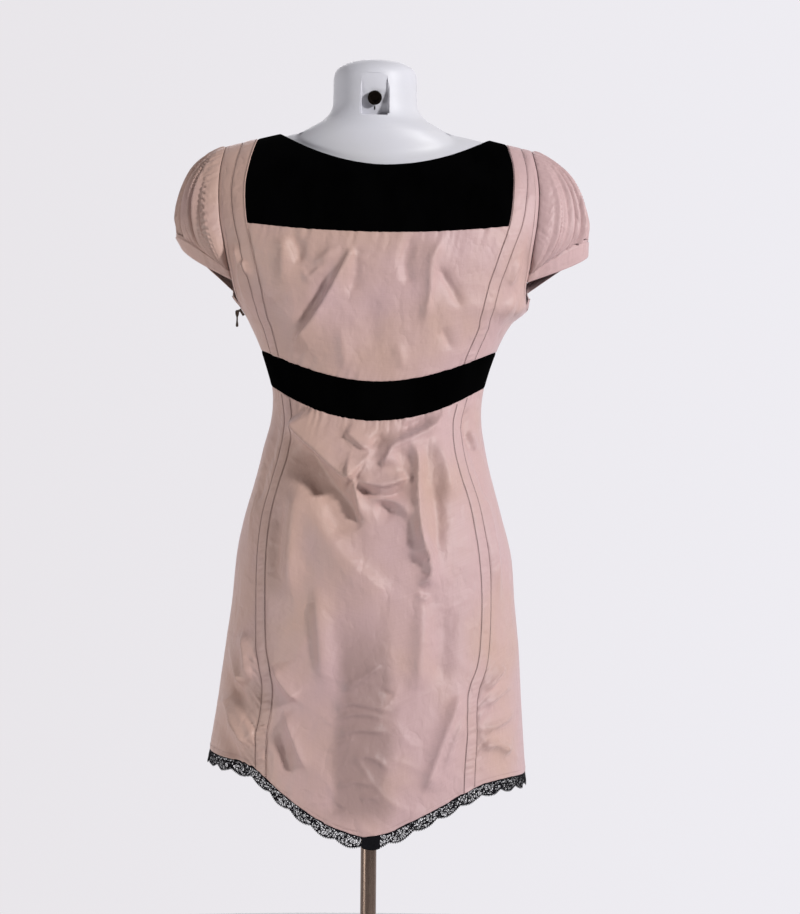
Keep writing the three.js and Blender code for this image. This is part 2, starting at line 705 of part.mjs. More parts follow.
// The cuff is a plain band that runs from the armhole's back edge to its front edge.
function addCuff(side, hand) {
  const armhole = armholeSpots(side, cuffRow);
  const last = armhole.length - 1;
  const cuffColumns = 26;
  const lift = new THREE.Vector3(side, 0, 0).multiplyScalar(sleeveLift);
  const edge = (which, t) =>
    which === 0
      ? halfTurn(armhole[1].point, armhole[last - 1].point, tipOf(side, cuffTop[side]), t).add(lift)
      : halfTurn(armhole[0].point, armhole[last].point, tipOf(side, cuffFoot[side]), t).add(lift);
  const step = 0.01;
  const spots = evenShares(cuffColumns).map((t) => {
    const along = edge(0, Math.min(1, t + step)).sub(edge(0, Math.max(0, t - step)));
    const normal = along.cross(edge(1, t).sub(edge(0, t))).normalize();
    if (normal.x * side < 0) normal.negate();
    return [0, 0.5, 1].map((r) => ({ point: edge(0, t).lerp(edge(1, t), r), normal }));
  });
  addCloth(`cuff_${hand}`, spots, taffetaWall, taffeta);
}

// The ring of the form that a point lies on, found from its height.
function formHeight(out, z) {
  let height = z;
  for (let i = 0; i < 12; i += 1) height = z + tiltShare(height, formTop) * shoulderDrop(out);
  return height;
}

function bodyDepth(face, out, z) {
  const height = formHeight(out, z);
  const half = read(formRings, "half", height);
  if (height >= formTop || Math.abs(out) >= half) return 0;
  const depth = read(formRings, face === BACK ? "back" : "front", height);
  const across = 1 - (Math.abs(out) / half) ** formSquare;
  return depth * shoulderRound(height, formTop) * across ** (1 / formSquare);
}

function neckDepth(face, out, z) {
  const half = read(neckRings, "half", z);
  if (z < neckRings[0].height || Math.abs(out) >= half) return 0;
  return read(neckRings, face === BACK ? "back" : "front", z) * Math.sqrt(1 - (out / half) ** 2);
}

function formReach(z) {
  let [inside, outside] = [0, 250];
  for (let i = 0; i < 30; i += 1) {
    const middle = (inside + outside) / 2;
    if (bodyDepth(BACK, middle, z) > 0) inside = middle;
    else outside = middle;
  }
  return Math.max(inside, z < neckRings[0].height ? 0 : read(neckRings, "half", z));
}

function formDepth(face, out, z) {
  const [a, b] = [bodyDepth(face, out, z), neckDepth(face, out, z)];
  return (a ** neckBlend + b ** neckBlend) ** (1 / neckBlend);
}

// The form is a stack of level rings, closed at both ends.
function formGeometry() {
  const places = [];
  const around = formColumns * 2;
  for (const z of formSlices) {
    const scale = formFootScale[z] ?? 1;
    const reach = formReach(z) * scale;
    for (let i = 0; i < around; i += 1) {
      const face = i <= formColumns ? BACK : FRONT;
      const turn = face === BACK ? i : around - i;
      const x = reach * Math.sin(Math.PI * (turn / formColumns - 0.5));
      const atEnd = turn === 0 || turn === formColumns;
      places.push(x, atEnd ? 0 : face * scale * formDepth(face, x / scale, z), z);
    }
  }
  const faces = [];
  const rings = formSlices.length;
  for (let k = 0; k + 1 < rings; k += 1) {
    for (let i = 0; i < around; i += 1) {
      const [a, b] = [k * around + i, k * around + ((i + 1) % around)];
      faces.push(a, b, b + around, a, b + around, a + around);
    }
  }
  const caps = [
    [0, formSlices[0], false],
    [(rings - 1) * around, formSlices[rings - 1], true],
  ];
  for (const [start, z, top] of caps) {
    const hub = places.length / 3;
    places.push(0, 0, z);
    for (let i = 0; i < around; i += 1) {
      const [a, b] = [start + i, start + ((i + 1) % around)];
      faces.push(...(top ? [hub, a, b] : [hub, b, a]));
    }
  }
  return facingOut(places, faces);
}

function solidOf(geometry) {
  const bare = geometry.clone();
  bare.deleteAttribute("normal");
  bare.deleteAttribute("uv");
  const merged = mergeVertices(bare, 1e-4);
  return new wasm.Manifold(
    new wasm.Mesh({
      numProp: 3,
      vertProperties: merged.attributes.position.array,
      triVerts: new Uint32Array(merged.index.array),
    }),
  );
}

function geometryOf(solid) {
  const mesh = solid.getMesh();
  const geometry = new THREE.BufferGeometry();
  geometry.setAttribute("position", new THREE.BufferAttribute(mesh.vertProperties, 3));
  geometry.setIndex(new THREE.BufferAttribute(mesh.triVerts, 1));
  geometry.computeVertexNormals();
  return geometry;
}

// The recess is cut with a wedge whose floor slopes in towards its foot.
function addForm() {
  const outside = 80;
  const profile = new THREE.Shape([
    new THREE.Vector2(recess.depthLow, recess.low),
    new THREE.Vector2(outside, recess.low),
    new THREE.Vector2(outside, recess.high),
    new THREE.Vector2(recess.depthHigh, recess.high),
  ]);
  const wedge = new THREE.ExtrudeGeometry(profile, { depth: 2 * recess.half, bevelEnabled: false });
  // The profile's x and y become y and z, and the extrusion runs along x
  wedge.applyMatrix4(new THREE.Matrix4().makeBasis(
    new THREE.Vector3(0, 1, 0),
    new THREE.Vector3(0, 0, 1),
    new THREE.Vector3(1, 0, 0),
  ));
  wedge.translate(-recess.half, 0, 0);
  const form = solidOf(formGeometry()).subtract(solidOf(wedge));
  addMesh("form_torso", geometryOf(form), formShell);
}

function turned(profile, segments) {
  return new THREE.LatheGeometry(profile.map(([r, z]) => new THREE.Vector2(r, z)), segments)
    .rotateX(Math.PI / 2);
}

// The socket is a blind bush that stands on the recess's sloping floor.
function addSocket() {
  const run = new THREE.Vector2(recess.depthHigh - recess.depthLow, recess.high - recess.low);
  const t = (socket.height - recess.low) / run.y;
  const lean = Math.atan2(run.x, run.y);
  const bush = turned([
    [0, 0],
    [socket.outer, 0],
    [socket.outer, socket.length],
    [socket.bore, socket.length],
    [socket.bore, socket.floor],
    [0, socket.floor],
  ], 20);
  const mesh = addMesh("form_socket", bush, steel);
  mesh.rotation.x = -Math.PI / 2 - lean;
  const away = new THREE.Vector3(0, Math.cos(lean), -Math.sin(lean)).multiplyScalar(gap);
  mesh.position.set(0, recess.depthLow + t * run.x, socket.height).add(away);
}

function addStand() {
  const { radius, thick, lip } = foot;
  addMesh("stand_foot", turned([
    [0, 0],
    [radius - lip, 0],
    [radius, lip],
    [radius, thick - lip / 2],
    [radius - lip, thick],
    [0, thick],
  ], 48), steel);
  const collarFoot = thick + gap;
  addMesh("stand_collar", turned([
    [poleRadius + gap, collarFoot],
    [footCollar.radius, collarFoot],
    [footCollar.radius, collarFoot + footCollar.height - footCollar.chamfer],
    [footCollar.radius - footCollar.chamfer, collarFoot + footCollar.height],
    [poleRadius + gap, collarFoot + footCollar.height],
    [poleRadius + gap, collarFoot],
  ], 24), steel);
  const poleTop = formSlices[0] - gap;
  addMesh("stand_pole", turned([
    [0, thick + gap],
    [poleRadius, thick + gap],
    [poleRadius, poleTop - poleFlange.thick],
    [poleFlange.radius, poleTop - poleFlange.thick],
    [poleFlange.radius, poleTop],
    [0, poleTop],
  ], 24), steel);
}

// The zip lies behind the side seam, and its slider and pull hang at the armhole
function addZip() {
  const rows = evenShares(zip.rows).map((t) => mix(zip.bottom, zip.top, t));
  const columns = [-1, 0, 1];
  const spots = columns.map((k) =>
    rows.map((height) => {
      const seam = garmentSpot(BACK, Math.PI / 2, height);
      const point = seam.point.clone().addScaledVector(seam.normal, -taffetaWall - zip.inset);
      point.y += k * zip.half;
      return { point, normal: seam.normal };
    }),
  );
  addMesh("side_zip", wallGeometry(spots, zip.wall), zipTape);
}

function box(width, depth, height) {
  return new THREE.BoxGeometry(width, depth, height);
}

// The slider is a block with two ears, tipped to lie on the seam, and the pull turns on their pin.
function addSlider() {
  const seat = garmentSpot(BACK, Math.PI / 2, slider.seat);
  const lean = Math.atan2(seat.normal.z, seat.normal.x);
  const pinOut = slider.clear + slider.thick + eyeClear;
  const pinUp = slider.height / 2 - 1;
  let body = solidOf(box(slider.thick, slider.width, slider.height)
    .translate(slider.clear + slider.thick / 2, 0, 0));
  for (const side of [1, -1]) {
    const ear = box(earLength, earWall, earHeight).translate(
      pinOut + 1 - earLength / 2,
      (side * (slider.width - earWall)) / 2,
      pinUp,
    );
    body = body.add(solidOf(ear));
  }
  const rod = new THREE.CylinderGeometry(pin.radius, pin.radius, pin.length, 12);
  body = body.add(solidOf(rod.translate(pinOut, 0, pinUp)));
  const mesh = addMesh("zip_slider", geometryOf(body), zipMetal);
  mesh.rotation.y = -lean;
  mesh.position.copy(seat.point);
  return new THREE.Vector3(pinOut, 0, pinUp).applyEuler(mesh.rotation).add(seat.point);
}

// The pull hangs straight down from the pin, its flat sides to the front and back.
function addPull(hinge) {
  const { length, half, thick, eye, bore, bulb, neck, shoulder } = pull;
  const foot = bulb - length;
  const outline = new THREE.Shape();
  outline.moveTo(-eye, 0);
  outline.absarc(0, 0, eye, Math.PI, 0, true);
  outline.bezierCurveTo(eye, -shoulder.upper, neck.half, -shoulder.upper, neck.half, -neck.from);
  outline.lineTo(neck.half, -neck.to);
  outline.bezierCurveTo(neck.half, -shoulder.lower, half, -shoulder.lower, half, foot);
  outline.absarc(0, foot, half, 0, -Math.PI, true);
  outline.bezierCurveTo(-half, -shoulder.lower, -neck.half, -shoulder.lower, -neck.half, -neck.to);
  outline.lineTo(-neck.half, -neck.from);
  outline.bezierCurveTo(-neck.half, -shoulder.upper, -eye, -shoulder.upper, -eye, 0);
  const hole = new THREE.Path();
  hole.absarc(0, 0, bore, 0, 2 * Math.PI, false);
  outline.holes.push(hole);
  const tab = new THREE.ExtrudeGeometry(outline, { depth: thick, bevelEnabled: false, curveSegments: 6 });
  tab.translate(0, 0, -thick / 2);
  const mesh = addMesh("zip_pull", tab, zipMetal);
  mesh.rotation.x = Math.PI / 2;
  mesh.position.copy(hinge);
}

addForm();
addSocket();
addStand();
addFace(BACK);
addFace(FRONT);
addSleeve(1, "left");
addSleeve(-1, "right");
addCuff(1, "left");
addCuff(-1, "right");
addZip();
addPull(addSlider());

export default dress;
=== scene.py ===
"""Evening dress on a dress form: cloth, lace, stitching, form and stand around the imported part.

The cloth is built on the same garment surface as the solids, in millimetres, with finer folds.
+Z is up, the front of the dress faces -Y, and +X is the wearer's left.
"""

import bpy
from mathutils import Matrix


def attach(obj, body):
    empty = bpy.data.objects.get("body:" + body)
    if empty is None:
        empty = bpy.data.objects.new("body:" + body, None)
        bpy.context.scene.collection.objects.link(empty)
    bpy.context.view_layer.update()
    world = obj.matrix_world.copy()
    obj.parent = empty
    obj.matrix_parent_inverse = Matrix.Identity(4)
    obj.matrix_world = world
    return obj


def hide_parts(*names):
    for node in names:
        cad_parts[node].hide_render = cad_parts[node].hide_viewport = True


bl_info = {
    "name": "Evening dress on a dress form",
    "version": (1, 0, 0),
    "blender": (4, 5, 0),
    "location": "View3D > Sidebar > Dress",
    "description": "Builds the taffeta dress, its velvet and lace, and the form and stand that carry it",
    "category": "Object",
}

import math
from collections import namedtuple

import bmesh
import bpy
import numpy as np
from mathutils import Euler, Matrix, Quaternion, Vector

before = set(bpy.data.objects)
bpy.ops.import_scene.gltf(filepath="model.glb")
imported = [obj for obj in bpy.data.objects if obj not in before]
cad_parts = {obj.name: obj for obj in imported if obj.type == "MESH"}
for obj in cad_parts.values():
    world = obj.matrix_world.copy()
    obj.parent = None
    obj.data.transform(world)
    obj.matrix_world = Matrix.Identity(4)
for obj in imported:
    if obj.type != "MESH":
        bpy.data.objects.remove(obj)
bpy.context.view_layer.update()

MM = 0.001
BACK = 1
FRONT = -1
LEFT = 1
RIGHT = -1
FACE_NAMES = {BACK: "back", FRONT: "front"}
HAND_NAMES = {LEFT: "left", RIGHT: "right"}
DRESS_BODY = "dress_on_form"

# The shoulders: heights are those of the ring at the centre, and the rings drop towards the sides
SHOULDER_TOP = 1329
SHOULDER_SLOPE = 0.2605
SHOULDER_EASE = 60
TILT_START = 1105
ROUND_START = 1150
ARMHOLE_BOTTOM = 1101


def rows_of(row, values):
    """A table: its rows by the names of their columns."""
    return [row(*value) for value in values]


Ring = namedtuple("Ring", "height half back front centre square")
DRESS_RINGS = rows_of(Ring, [
    (470, 198, 155, 148, 4, 2.1),
    (560, 190, 148, 141, 3.5, 2.1),
    (640, 181, 140, 134, 0, 2.1),
    (700, 175, 135, 129, -2, 2.15),
    (750, 169.5, 131, 124, -3, 2.2),
    (806, 164.5, 126, 118, -3.5, 2.2),
    (850, 154.5, 120, 111, -2.5, 2.2),
    (905, 139.5, 111, 102, -2.5, 2.2),
    (937, 132, 102, 96, -3, 2.2),
    (963, 126.5, 93, 92, -4.5, 2.2),
    (985, 125, 87, 90, -5.5, 2.2),
    (1010, 127.5, 87, 93, -6.5, 2.2),
    (1050, 140, 92, 102, -7, 2.3),
    (1085, 157, 95, 112, -8.5, 2.4),
    (1101, 171, 96, 115, -13, 2.4),
    (1112, 177, 96.5, 116, -10, 2.4),
    (1127, 183, 97, 116, -7.5, 2.4),
    (1150, 191, 98, 113, -7, 2.4),
    (1185, 205, 98, 105, -6.5, 2.4),
    (1225, 217, 97, 98, -6, 2.4),
    (1268, 223, 95, 93, -6, 2.4),
    (1300, 222, 92, 88, -5.5, 2.4),
    (1329, 220, 90, 85, -5, 2.4),
])

ArmholeRow = namedtuple("ArmholeRow", "height back front")
ARMHOLE_ROWS = rows_of(ArmholeRow, [
    (1101, 171, 171),
    (1112, 172.5, 178),
    (1127, 174, 179),
    (1150, 178, 180),
    (1185, 182.5, 181),
    (1225, 187.5, 183),
    (1268, 189.5, 184),
    (1300, 188, 184.5),
    (1329, 183, 183),
])

# The inner edge of the narrow strips: its reach from the middle, and how far the pair leans to +X
StripRow = namedtuple("StripRow", "height reach lean")
BACK_STRIP_ROWS = rows_of(StripRow, [
    (470, 114, 0),
    (556, 114, 0),
    (601, 114.5, 0.5),
    (632, 112, 0),
    (658, 113.5, -1.5),
    (681, 120, -3),
    (703, 124, -2),
    (757, 126, -1),
    (811, 124, 1),
    (852, 118.5, 1.5),
    (876, 113, 1.5),
    (905, 104, 2.5),
    (933, 96.5, 3),
    (962, 93, 3.5),
    (992, 98, 3.5),
    (1037, 108.5, 7),
    (1075, 121, 5),
    (1085, 124, 7),
    (1101, 128, 11.5),
    (1112, 130.5, 8.5),
    (1124, 133, 6),
    (1171, 145, 3),
    (1217, 155, 0.5),
    (1266, 158.5, -0.5),
    (1300, 156, -3),
    (1329, 149, -4),
])
FRONT_STRIP_ROWS = rows_of(StripRow, [
    (470, 130, 0),
    (703, 121, 0),
    (806, 115, 0),
    (905, 102, 0),
    (985, 94, 0),
    (1037, 98, 0),
    (1085, 107, 1),
    (1101, 109, 5),
    (1121, 112, 1),
    (1217, 143, 0),
    (1266, 153, 0),
    (1329, 149, -4),
])
STRIP_ROWS = {BACK: BACK_STRIP_ROWS, FRONT: FRONT_STRIP_ROWS}
STRIP_WIDTH = 16
STRIP_SHOULDER_WIDTH = 19

# The hem of the taffeta: how far it climbs from the point at the centre back
HEM_POINT = 490
HemRow = namedtuple("HemRow", "out left right")
HEM_ROWS = rows_of(HemRow, [
    (0, 0, 0),
    (30, 8, 6),
    (60, 23, 20),
    (95, 47, 37),
    (130, 74, 54),
    (160, 81, 60),
    (200, 87, 61),
])
HEM_LEFT = 577
HEM_RIGHT = 551

NECK_REACH = {LEFT: 120, RIGHT: 130}
NECK_LEAN = -2
Neckline = namedtuple("Neckline", "low bow")
NECKLINE = {BACK: Neckline(1269, 1.9), FRONT: Neckline(1212, 2.3)}
YOKE_EDGE = {BACK: 1187, FRONT: 1170}
YOKE_EDGE_RISE = 22
YOKE_EDGE_REACH = 150
Band = namedtuple("Band", "top bottom")
BAND = {BACK: Band(1013, 967), FRONT: Band(1040, 997)}
BAND_SIDE = Band(1051, 1008)

# Folds as paths of x, z points. rise is how far each stands out or in, left and right are its widths
# on the two sides of the path as seen from outside, sharp is how crisp its crest is (2 is round, 1 a
# crease), and fade is the share of the path over which its ends die away.
Fold = namedtuple("Fold", "path rise left right sharp fade")
SOFT = 1.8
CRISP = 1.1
BACK_SKIRT_FOLDS = rows_of(Fold, [
    # The swag that hangs from the left end of the waistband and the deep hollow beneath it
    ([(93, 972), (78, 951), (54, 927), (30, 904), (20, 896)], 11, 34, 8, CRISP, 0.14),
    ([(77, 944), (63, 913), (44, 885), (24, 861), (12, 840)], -10, 9, 24, SOFT, 0.2),
    ([(70, 926), (63, 874), (47, 833), (22, 802), (-6, 778), (-27, 764)], 4.5, 11, 34, SOFT, 0.25),
    # The small pocket below the waistband and the star where the creases meet
    ([(32, 956), (20, 948), (11, 939), (0, 931)], 5, 12, 5, CRISP, 0.25),
    ([(0, 931), (7, 913), (16, 897)], 4, 9, 7, CRISP, 0.3),
    ([(22, 934), (23, 909), (19, 896), (14, 868), (12, 844)], 5, 10, 5, CRISP, 0.2),
    ([(17, 898), (2, 894), (-14, 893), (-29, 897), (-44, 902)], 7, 17, 5, CRISP, 0.22),
    ([(16, 894), (5, 885), (-12, 880), (-29, 882), (-44, 894)], -5, 6, 12, CRISP, 0.25),
    ([(12, 875), (-12, 877), (-33, 870), (-45, 851), (-54, 820), (-57, 803)], 6, 18, 8, CRISP, 0.2),
    ([(-3, 868), (-18, 866), (-30, 860)], -4, 7, 12, SOFT, 0.35),
    # The soft swag from the right end of the waistband
    ([(-86, 981), (-67, 962), (-43, 948), (-25, 939), (-17, 925), (-13, 910)], 8, 20, 8, CRISP, 0.2),
    ([(-70, 974), (-50, 962), (-30, 952)], -3.5, 7, 7, SOFT, 0.35),
    ([(-20, 950), (-6, 944), (3, 936)], -3, 8, 8, SOFT, 0.35),
    # The long upright fold on the right and its tail
    ([(-43, 945), (-50, 924), (-51, 900), (-52, 865), (-56, 834), (-65, 806), (-67, 789), (-55, 775)],
     8, 10, 6, CRISP, 0.12),
    ([(-41, 865), (-48, 841), (-54, 816)], -4.5, 5, 6, CRISP, 0.3),
    ([(-54, 770), (-60, 762), (-70, 766)], 3, 4, 5, CRISP, 0.35),
    ([(-70, 952), (-84, 915), (-92, 870)], 5, 11, 13, SOFT, 0.3),
    ([(-72, 900), (-78, 850), (-78, 800)], -3, 9, 10, SOFT, 0.3),
    ([(78, 905), (88, 850), (92, 800), (90, 750)], 4, 12, 14, SOFT, 0.3),
    ([(100, 880), (108, 830), (110, 780)], -2.5, 8, 8, SOFT, 0.3),
    # Soft upright bands below
    ([(-60, 770), (-58, 700), (-56, 650)], 4, 12, 10, SOFT, 0.3),
    ([(-88, 760), (-86, 700), (-82, 660)], -3, 13, 13, SOFT, 0.3),
    ([(62, 780), (56, 720), (52, 660)], 3.5, 15, 9, SOFT, 0.3),
    # Wrinkles across the lower middle
    ([(31, 653), (17, 664), (0, 675), (-17, 688)], 2.6, 8, 4, CRISP, 0.25),
    ([(38, 631), (21, 642), (-5, 638), (-31, 631)], 2.8, 8, 4, CRISP, 0.25),
    ([(43, 617), (21, 629), (0, 629), (-22, 622)], 2.4, 7, 4, CRISP, 0.28),
    ([(38, 601), (17, 611), (-5, 611), (-27, 607)], 2.4, 8, 4, CRISP, 0.28),
    ([(25, 572), (4, 582), (-14, 575), (-25, 565)], 2.2, 7, 4, CRISP, 0.28),
    ([(37, 545), (16, 553), (-6, 549)], 2, 6, 4, CRISP, 0.3),
    ([(-12, 660), (-22, 652), (-32, 650)], -1.6, 4, 5, SOFT, 0.3),
    ([(10, 530), (-2, 536), (-16, 532)], 1.4, 4, 4, CRISP, 0.35),
    # Diagonals that end at the strips
    ([(112, 682), (95, 657), (81, 643)], 5, 12, 5, CRISP, 0.22),
    ([(98, 632), (83, 594), (70, 564)], 4, 12, 6, CRISP, 0.25),
    ([(104, 610), (96, 580), (88, 556)], -2.5, 6, 7, SOFT, 0.35),
    ([(-104, 657), (-88, 615), (-74, 575), (-63, 538)], 6.5, 17, 6, CRISP, 0.18),
    ([(-108, 628), (-94, 596), (-84, 566)], 3.5, 10, 6, CRISP, 0.3),
    # The side panels: a deep fold beside each strip below the band, and pulls towards the strips
    ([(118, 994), (115, 962), (119, 930), (127, 902), (134, 868)], -9, 4, 8, CRISP, 0.15),
    ([(124, 985), (124, 950), (130, 915), (138, 870), (146, 820)], 5, 5, 7, CRISP, 0.22),
    ([(-111, 986), (-113, 950), (-122, 927), (-130, 899), (-136, 868)], -8, 7, 4, CRISP, 0.18),
    ([(-114, 958), (-121, 944), (-124, 930)], 6, 6, 5, CRISP, 0.3),
    ([(-122, 912), (-136, 870), (-146, 812), (-152, 750)], 5, 7, 6, CRISP, 0.25),
    ([(172, 708), (156, 679), (144, 655)], 6.5, 11, 5, CRISP, 0.2),
    ([(174, 680), (160, 660), (142, 632)], -4.5, 6, 8, SOFT, 0.3),
    ([(178, 650), (156, 616), (137, 584)], 7, 12, 5, CRISP, 0.2),
    ([(182, 622), (166, 592), (150, 566)], -4, 7, 8, SOFT, 0.3),
    ([(150, 720), (142, 690), (136, 662)], 4, 6, 6, CRISP, 0.28),
    ([(-131, 653), (-147, 671), (-157, 682)], 5, 6, 5, CRISP, 0.25),
    ([(-130, 634), (-150, 650), (-169, 658)], 4.5, 6, 5, CRISP, 0.25),
    ([(-130, 610), (-156, 617), (-174, 630)], 4.5, 7, 5, CRISP, 0.25),
    ([(-129, 588), (-147, 591), (-166, 577)], 5.5, 8, 6, CRISP, 0.22),
    ([(-154, 820), (-164, 760), (-172, 700)], -4, 7, 7, SOFT, 0.3),
    ([(150, 850), (160, 790), (168, 740)], -3.5, 7, 8, SOFT, 0.3),
])
BACK_BODICE_FOLDS = rows_of(Fold, [
    # The long pull from the yoke to the left end of the waistband
    ([(23, 1170), (32, 1150), (51, 1114), (67, 1086), (95, 1049)], 7.5, 13, 6, CRISP, 0.13),
    ([(48, 1140), (66, 1107), (86, 1080)], -6, 5, 8, CRISP, 0.25),
    ([(33, 1174), (56, 1157), (72, 1138), (85, 1137)], 4, 9, 7, SOFT, 0.3),
    ([(54, 1156), (70, 1142), (79, 1135)], -4, 4, 6, CRISP, 0.3),
    ([(93, 1185), (88, 1166), (86, 1147)], -4.5, 8, 7, SOFT, 0.3),
    ([(106, 1186), (104, 1160), (104, 1120)], 3, 9, 9, SOFT, 0.3),
    ([(22, 1176), (20, 1140), (28, 1110)], -3.5, 9, 7, SOFT, 0.3),
    ([(-46, 1185), (-38, 1150), (-45, 1124)], -5, 9, 8, SOFT, 0.25),
    ([(-81, 1184), (-68, 1155), (-66, 1120), (-59, 1074)], 6, 10, 8, CRISP, 0.2),
    ([(-75, 1150), (-91, 1125), (-106, 1100)], -5, 5, 6, CRISP, 0.25),
    ([(-82, 1078), (-88, 1065), (-95, 1051)], -4, 5, 6, CRISP, 0.3),
    ([(6, 1120), (2, 1080), (-2, 1040)], -2.5, 15, 18, SOFT, 0.3),
    ([(36, 1080), (33, 1050), (30, 1026)], 2.5, 9, 9, SOFT, 0.3),
    ([(-30, 1060), (-34, 1040), (-36, 1026)], 2, 7, 8, SOFT, 0.3),
    # The side back panels
    ([(164, 1176), (157, 1150), (154, 1118), (141, 1076)], 5.5, 6, 6, CRISP, 0.2),
    ([(168, 1160), (164, 1136), (152, 1104)], -4, 4, 5, SOFT, 0.3),
    ([(152, 1156), (150, 1146), (146, 1136)], 3.5, 4, 4, CRISP, 0.3),
    ([(-176, 1160), (-166, 1140), (-160, 1126)], 3.5, 5, 6, CRISP, 0.3),
    ([(-172, 1120), (-160, 1096), (-146, 1068)], 4, 6, 7, SOFT, 0.3),
    ([(-182, 1180), (-178, 1150), (-172, 1128)], -3, 5, 5, SOFT, 0.3),
])
FRONT_FOLDS = rows_of(Fold, [
    ([(70, 970), (80, 860), (90, 720), (96, 600)], 6, 22, 26, SOFT, 0.25),
    ([(-64, 970), (-78, 840), (-88, 700), (-92, 590)], 7, 24, 20, SOFT, 0.25),
    ([(8, 960), (2, 820), (-6, 620)], -5, 28, 26, SOFT, 0.3),
    ([(34, 976), (40, 930), (44, 890)], 3, 9, 10, SOFT, 0.3),
    ([(-30, 976), (-34, 940), (-30, 900)], 3, 8, 11, SOFT, 0.3),
    ([(52, 700), (26, 660), (-6, 640)], 2.4, 7, 9, SOFT, 0.3),
    ([(-60, 660), (-30, 630), (4, 622)], -2, 8, 8, SOFT, 0.3),
    ([(112, 690), (98, 656), (80, 610)], 3, 7, 9, CRISP, 0.3),
    ([(-114, 680), (-98, 630), (-84, 590)], -3, 7, 9, CRISP, 0.3),
    ([(150, 700), (140, 660), (134, 610)], 3, 8, 9, SOFT, 0.3),
    ([(-146, 690), (-150, 640), (-160, 590)], 3, 8, 9, SOFT, 0.3),
    ([(70, 1140), (72, 1122), (72, 1096)], 8, 34, 34, SOFT, 0.35),
    ([(-70, 1140), (-72, 1122), (-72, 1096)], 8, 34, 34, SOFT, 0.35),
    ([(52, 1166), (60, 1146), (64, 1132)], 2, 6, 7, SOFT, 0.3),
    ([(-40, 1166), (-48, 1142), (-52, 1126)], 2, 7, 6, SOFT, 0.3),
    ([(84, 1062), (78, 1080), (74, 1094)], 2, 6, 7, SOFT, 0.3),
    ([(-92, 1058), (-84, 1076), (-78, 1092)], 2, 6, 7, SOFT, 0.3),
    ([(20, 1150), (6, 1110), (0, 1060)], -3, 18, 18, SOFT, 0.3),
    ([(150, 1150), (142, 1110), (128, 1070)], 2.4, 7, 7, SOFT, 0.3),
    ([(-160, 1150), (-150, 1110), (-134, 1070)], 2.4, 7, 7, SOFT, 0.3),
])
FOLDS = {BACK: BACK_SKIRT_FOLDS + BACK_BODICE_FOLDS, FRONT: FRONT_FOLDS}
# Points of a fold's curve between two points of its path
PATH_STEPS = 6
FOLD_WIDTH = 0.85
# A fold is worked out up to this many of its widths away
FOLD_REACH = 2.6
# The share of its height that a fold keeps at its ends
FOLD_END = 0.12
# Folds fade from this share of the way to a side seam
FOLD_FADE_START = 0.8
# Folds above this height belong to the bodice
BAND_HEIGHT = 1015
SKIRT_FOLD_STRENGTH = 2
BODICE_FOLD_STRENGTH = 1.4
# The form lies behind the cloth, so no hollow goes deeper than this
DEEPEST_FOLD = 7

# The sleeves: where the tips of the gathered edge and the cuff stand, out from the centre line
Tip = namedtuple("Tip", "out height")
SLEEVE_TIP = {LEFT: Tip(241, 1190), RIGHT: Tip(245, 1189)}
CUFF_TOP = {LEFT: Tip(246, 1186), RIGHT: Tip(248, 1184)}
CUFF_FOOT = {LEFT: Tip(238, 1171), RIGHT: Tip(248, 1167)}
SLEEVE_HEART = Tip(140, 1195)
# How far the cuff's foot hangs lower at the back than level, and higher at the front
CUFF_TILT = 6
SLEEVE_PUFF = 19
# Below 0 the puff is fullest in its upper half
SLEEVE_PUFF_LOW = -0.25
SLEEVE_LEAN = -9
SLEEVE_LIFT = 0.5
BODICE_CUFF_SHARE = 0.49
BODICE_SLEEVE_SHARE = 0.56
GATHERS = 32
GATHER_DEPTH = 3.2
# How strongly the gathers draw together towards the top of the shoulder
GATHER_FAN = 0.75
SLEEVE_FOLD_DEPTH = 7
SLEEVE_COLUMNS = 230
CUFF_COLUMNS = 120

LACE_DEPTH = 16
SCALLOP_DEPTH = 4.5
SCALLOPS_EACH_SIDE = 18
PICOT = 1.3

# The dress form
FORM_TOP = 1325.1
FORM_SQUARE = 2.4
NECK_BLEND = 6
FormRing = namedtuple("FormRing", "height half back front")
FORM_RINGS = rows_of(FormRing, [
    (700, 150, 104, 92),
    (760, 155, 109, 97),
    (800, 154, 110, 98),
    (850, 145, 103, 94),
    (900, 129, 92, 88),
    (940, 118, 82, 82),
    (985, 111, 75, 78),
    (1010, 114, 77, 80),
    (1050, 125, 83, 89),
    (1085, 135, 87, 100),
    (1120, 144, 89, 104),
    (1150, 152, 90, 101),
    (1185, 160, 90, 93),
    (1225, 167, 88, 86),
    (1268, 171, 84, 77),
    (1300, 171, 72, 66),
    (1326, 168, 64, 52),
])
NECK_RINGS = rows_of(FormRing, [
    (1250, 60, 20, 18),
    (1275, 84, 42, 38),
    (1290, 94, 52, 46),
    (1300, 97, 55, 50),
    (1311, 89, 56, 52),
    (1318, 79, 55, 53),
    (1328, 62, 52, 51),
    (1341, 52, 50.5, 50),
    (1360, 50, 50, 49),
    (1380, 49.5, 49, 48.5),
    (1389, 45.5, 45, 44.5),
    (1395, 35, 36, 36),
    (1398, 24, 25, 25),
    (1399, 10, 11, 11),
])
FORM_FOOT = 700
FORM_FOOT_ROUND = 8
FORM_CROWN = 1399
FORM_AROUND = 160
# The form is finer above this height, where it shows
FORM_FINE_START = 1240
CROWN_ROUND = 14
Recess = namedtuple("Recess", "half low high depth_low depth_high")
RECESS = Recess(17.6, 1329, 1381, 35, 49)
SOCKET_HEIGHT = 1351
SLOT_DROP = 12.5
# How light the neck's bush and the zip are beside the pole's steel
BUSH_SHADE = 0.15
ZIP_SHADE = 1.6

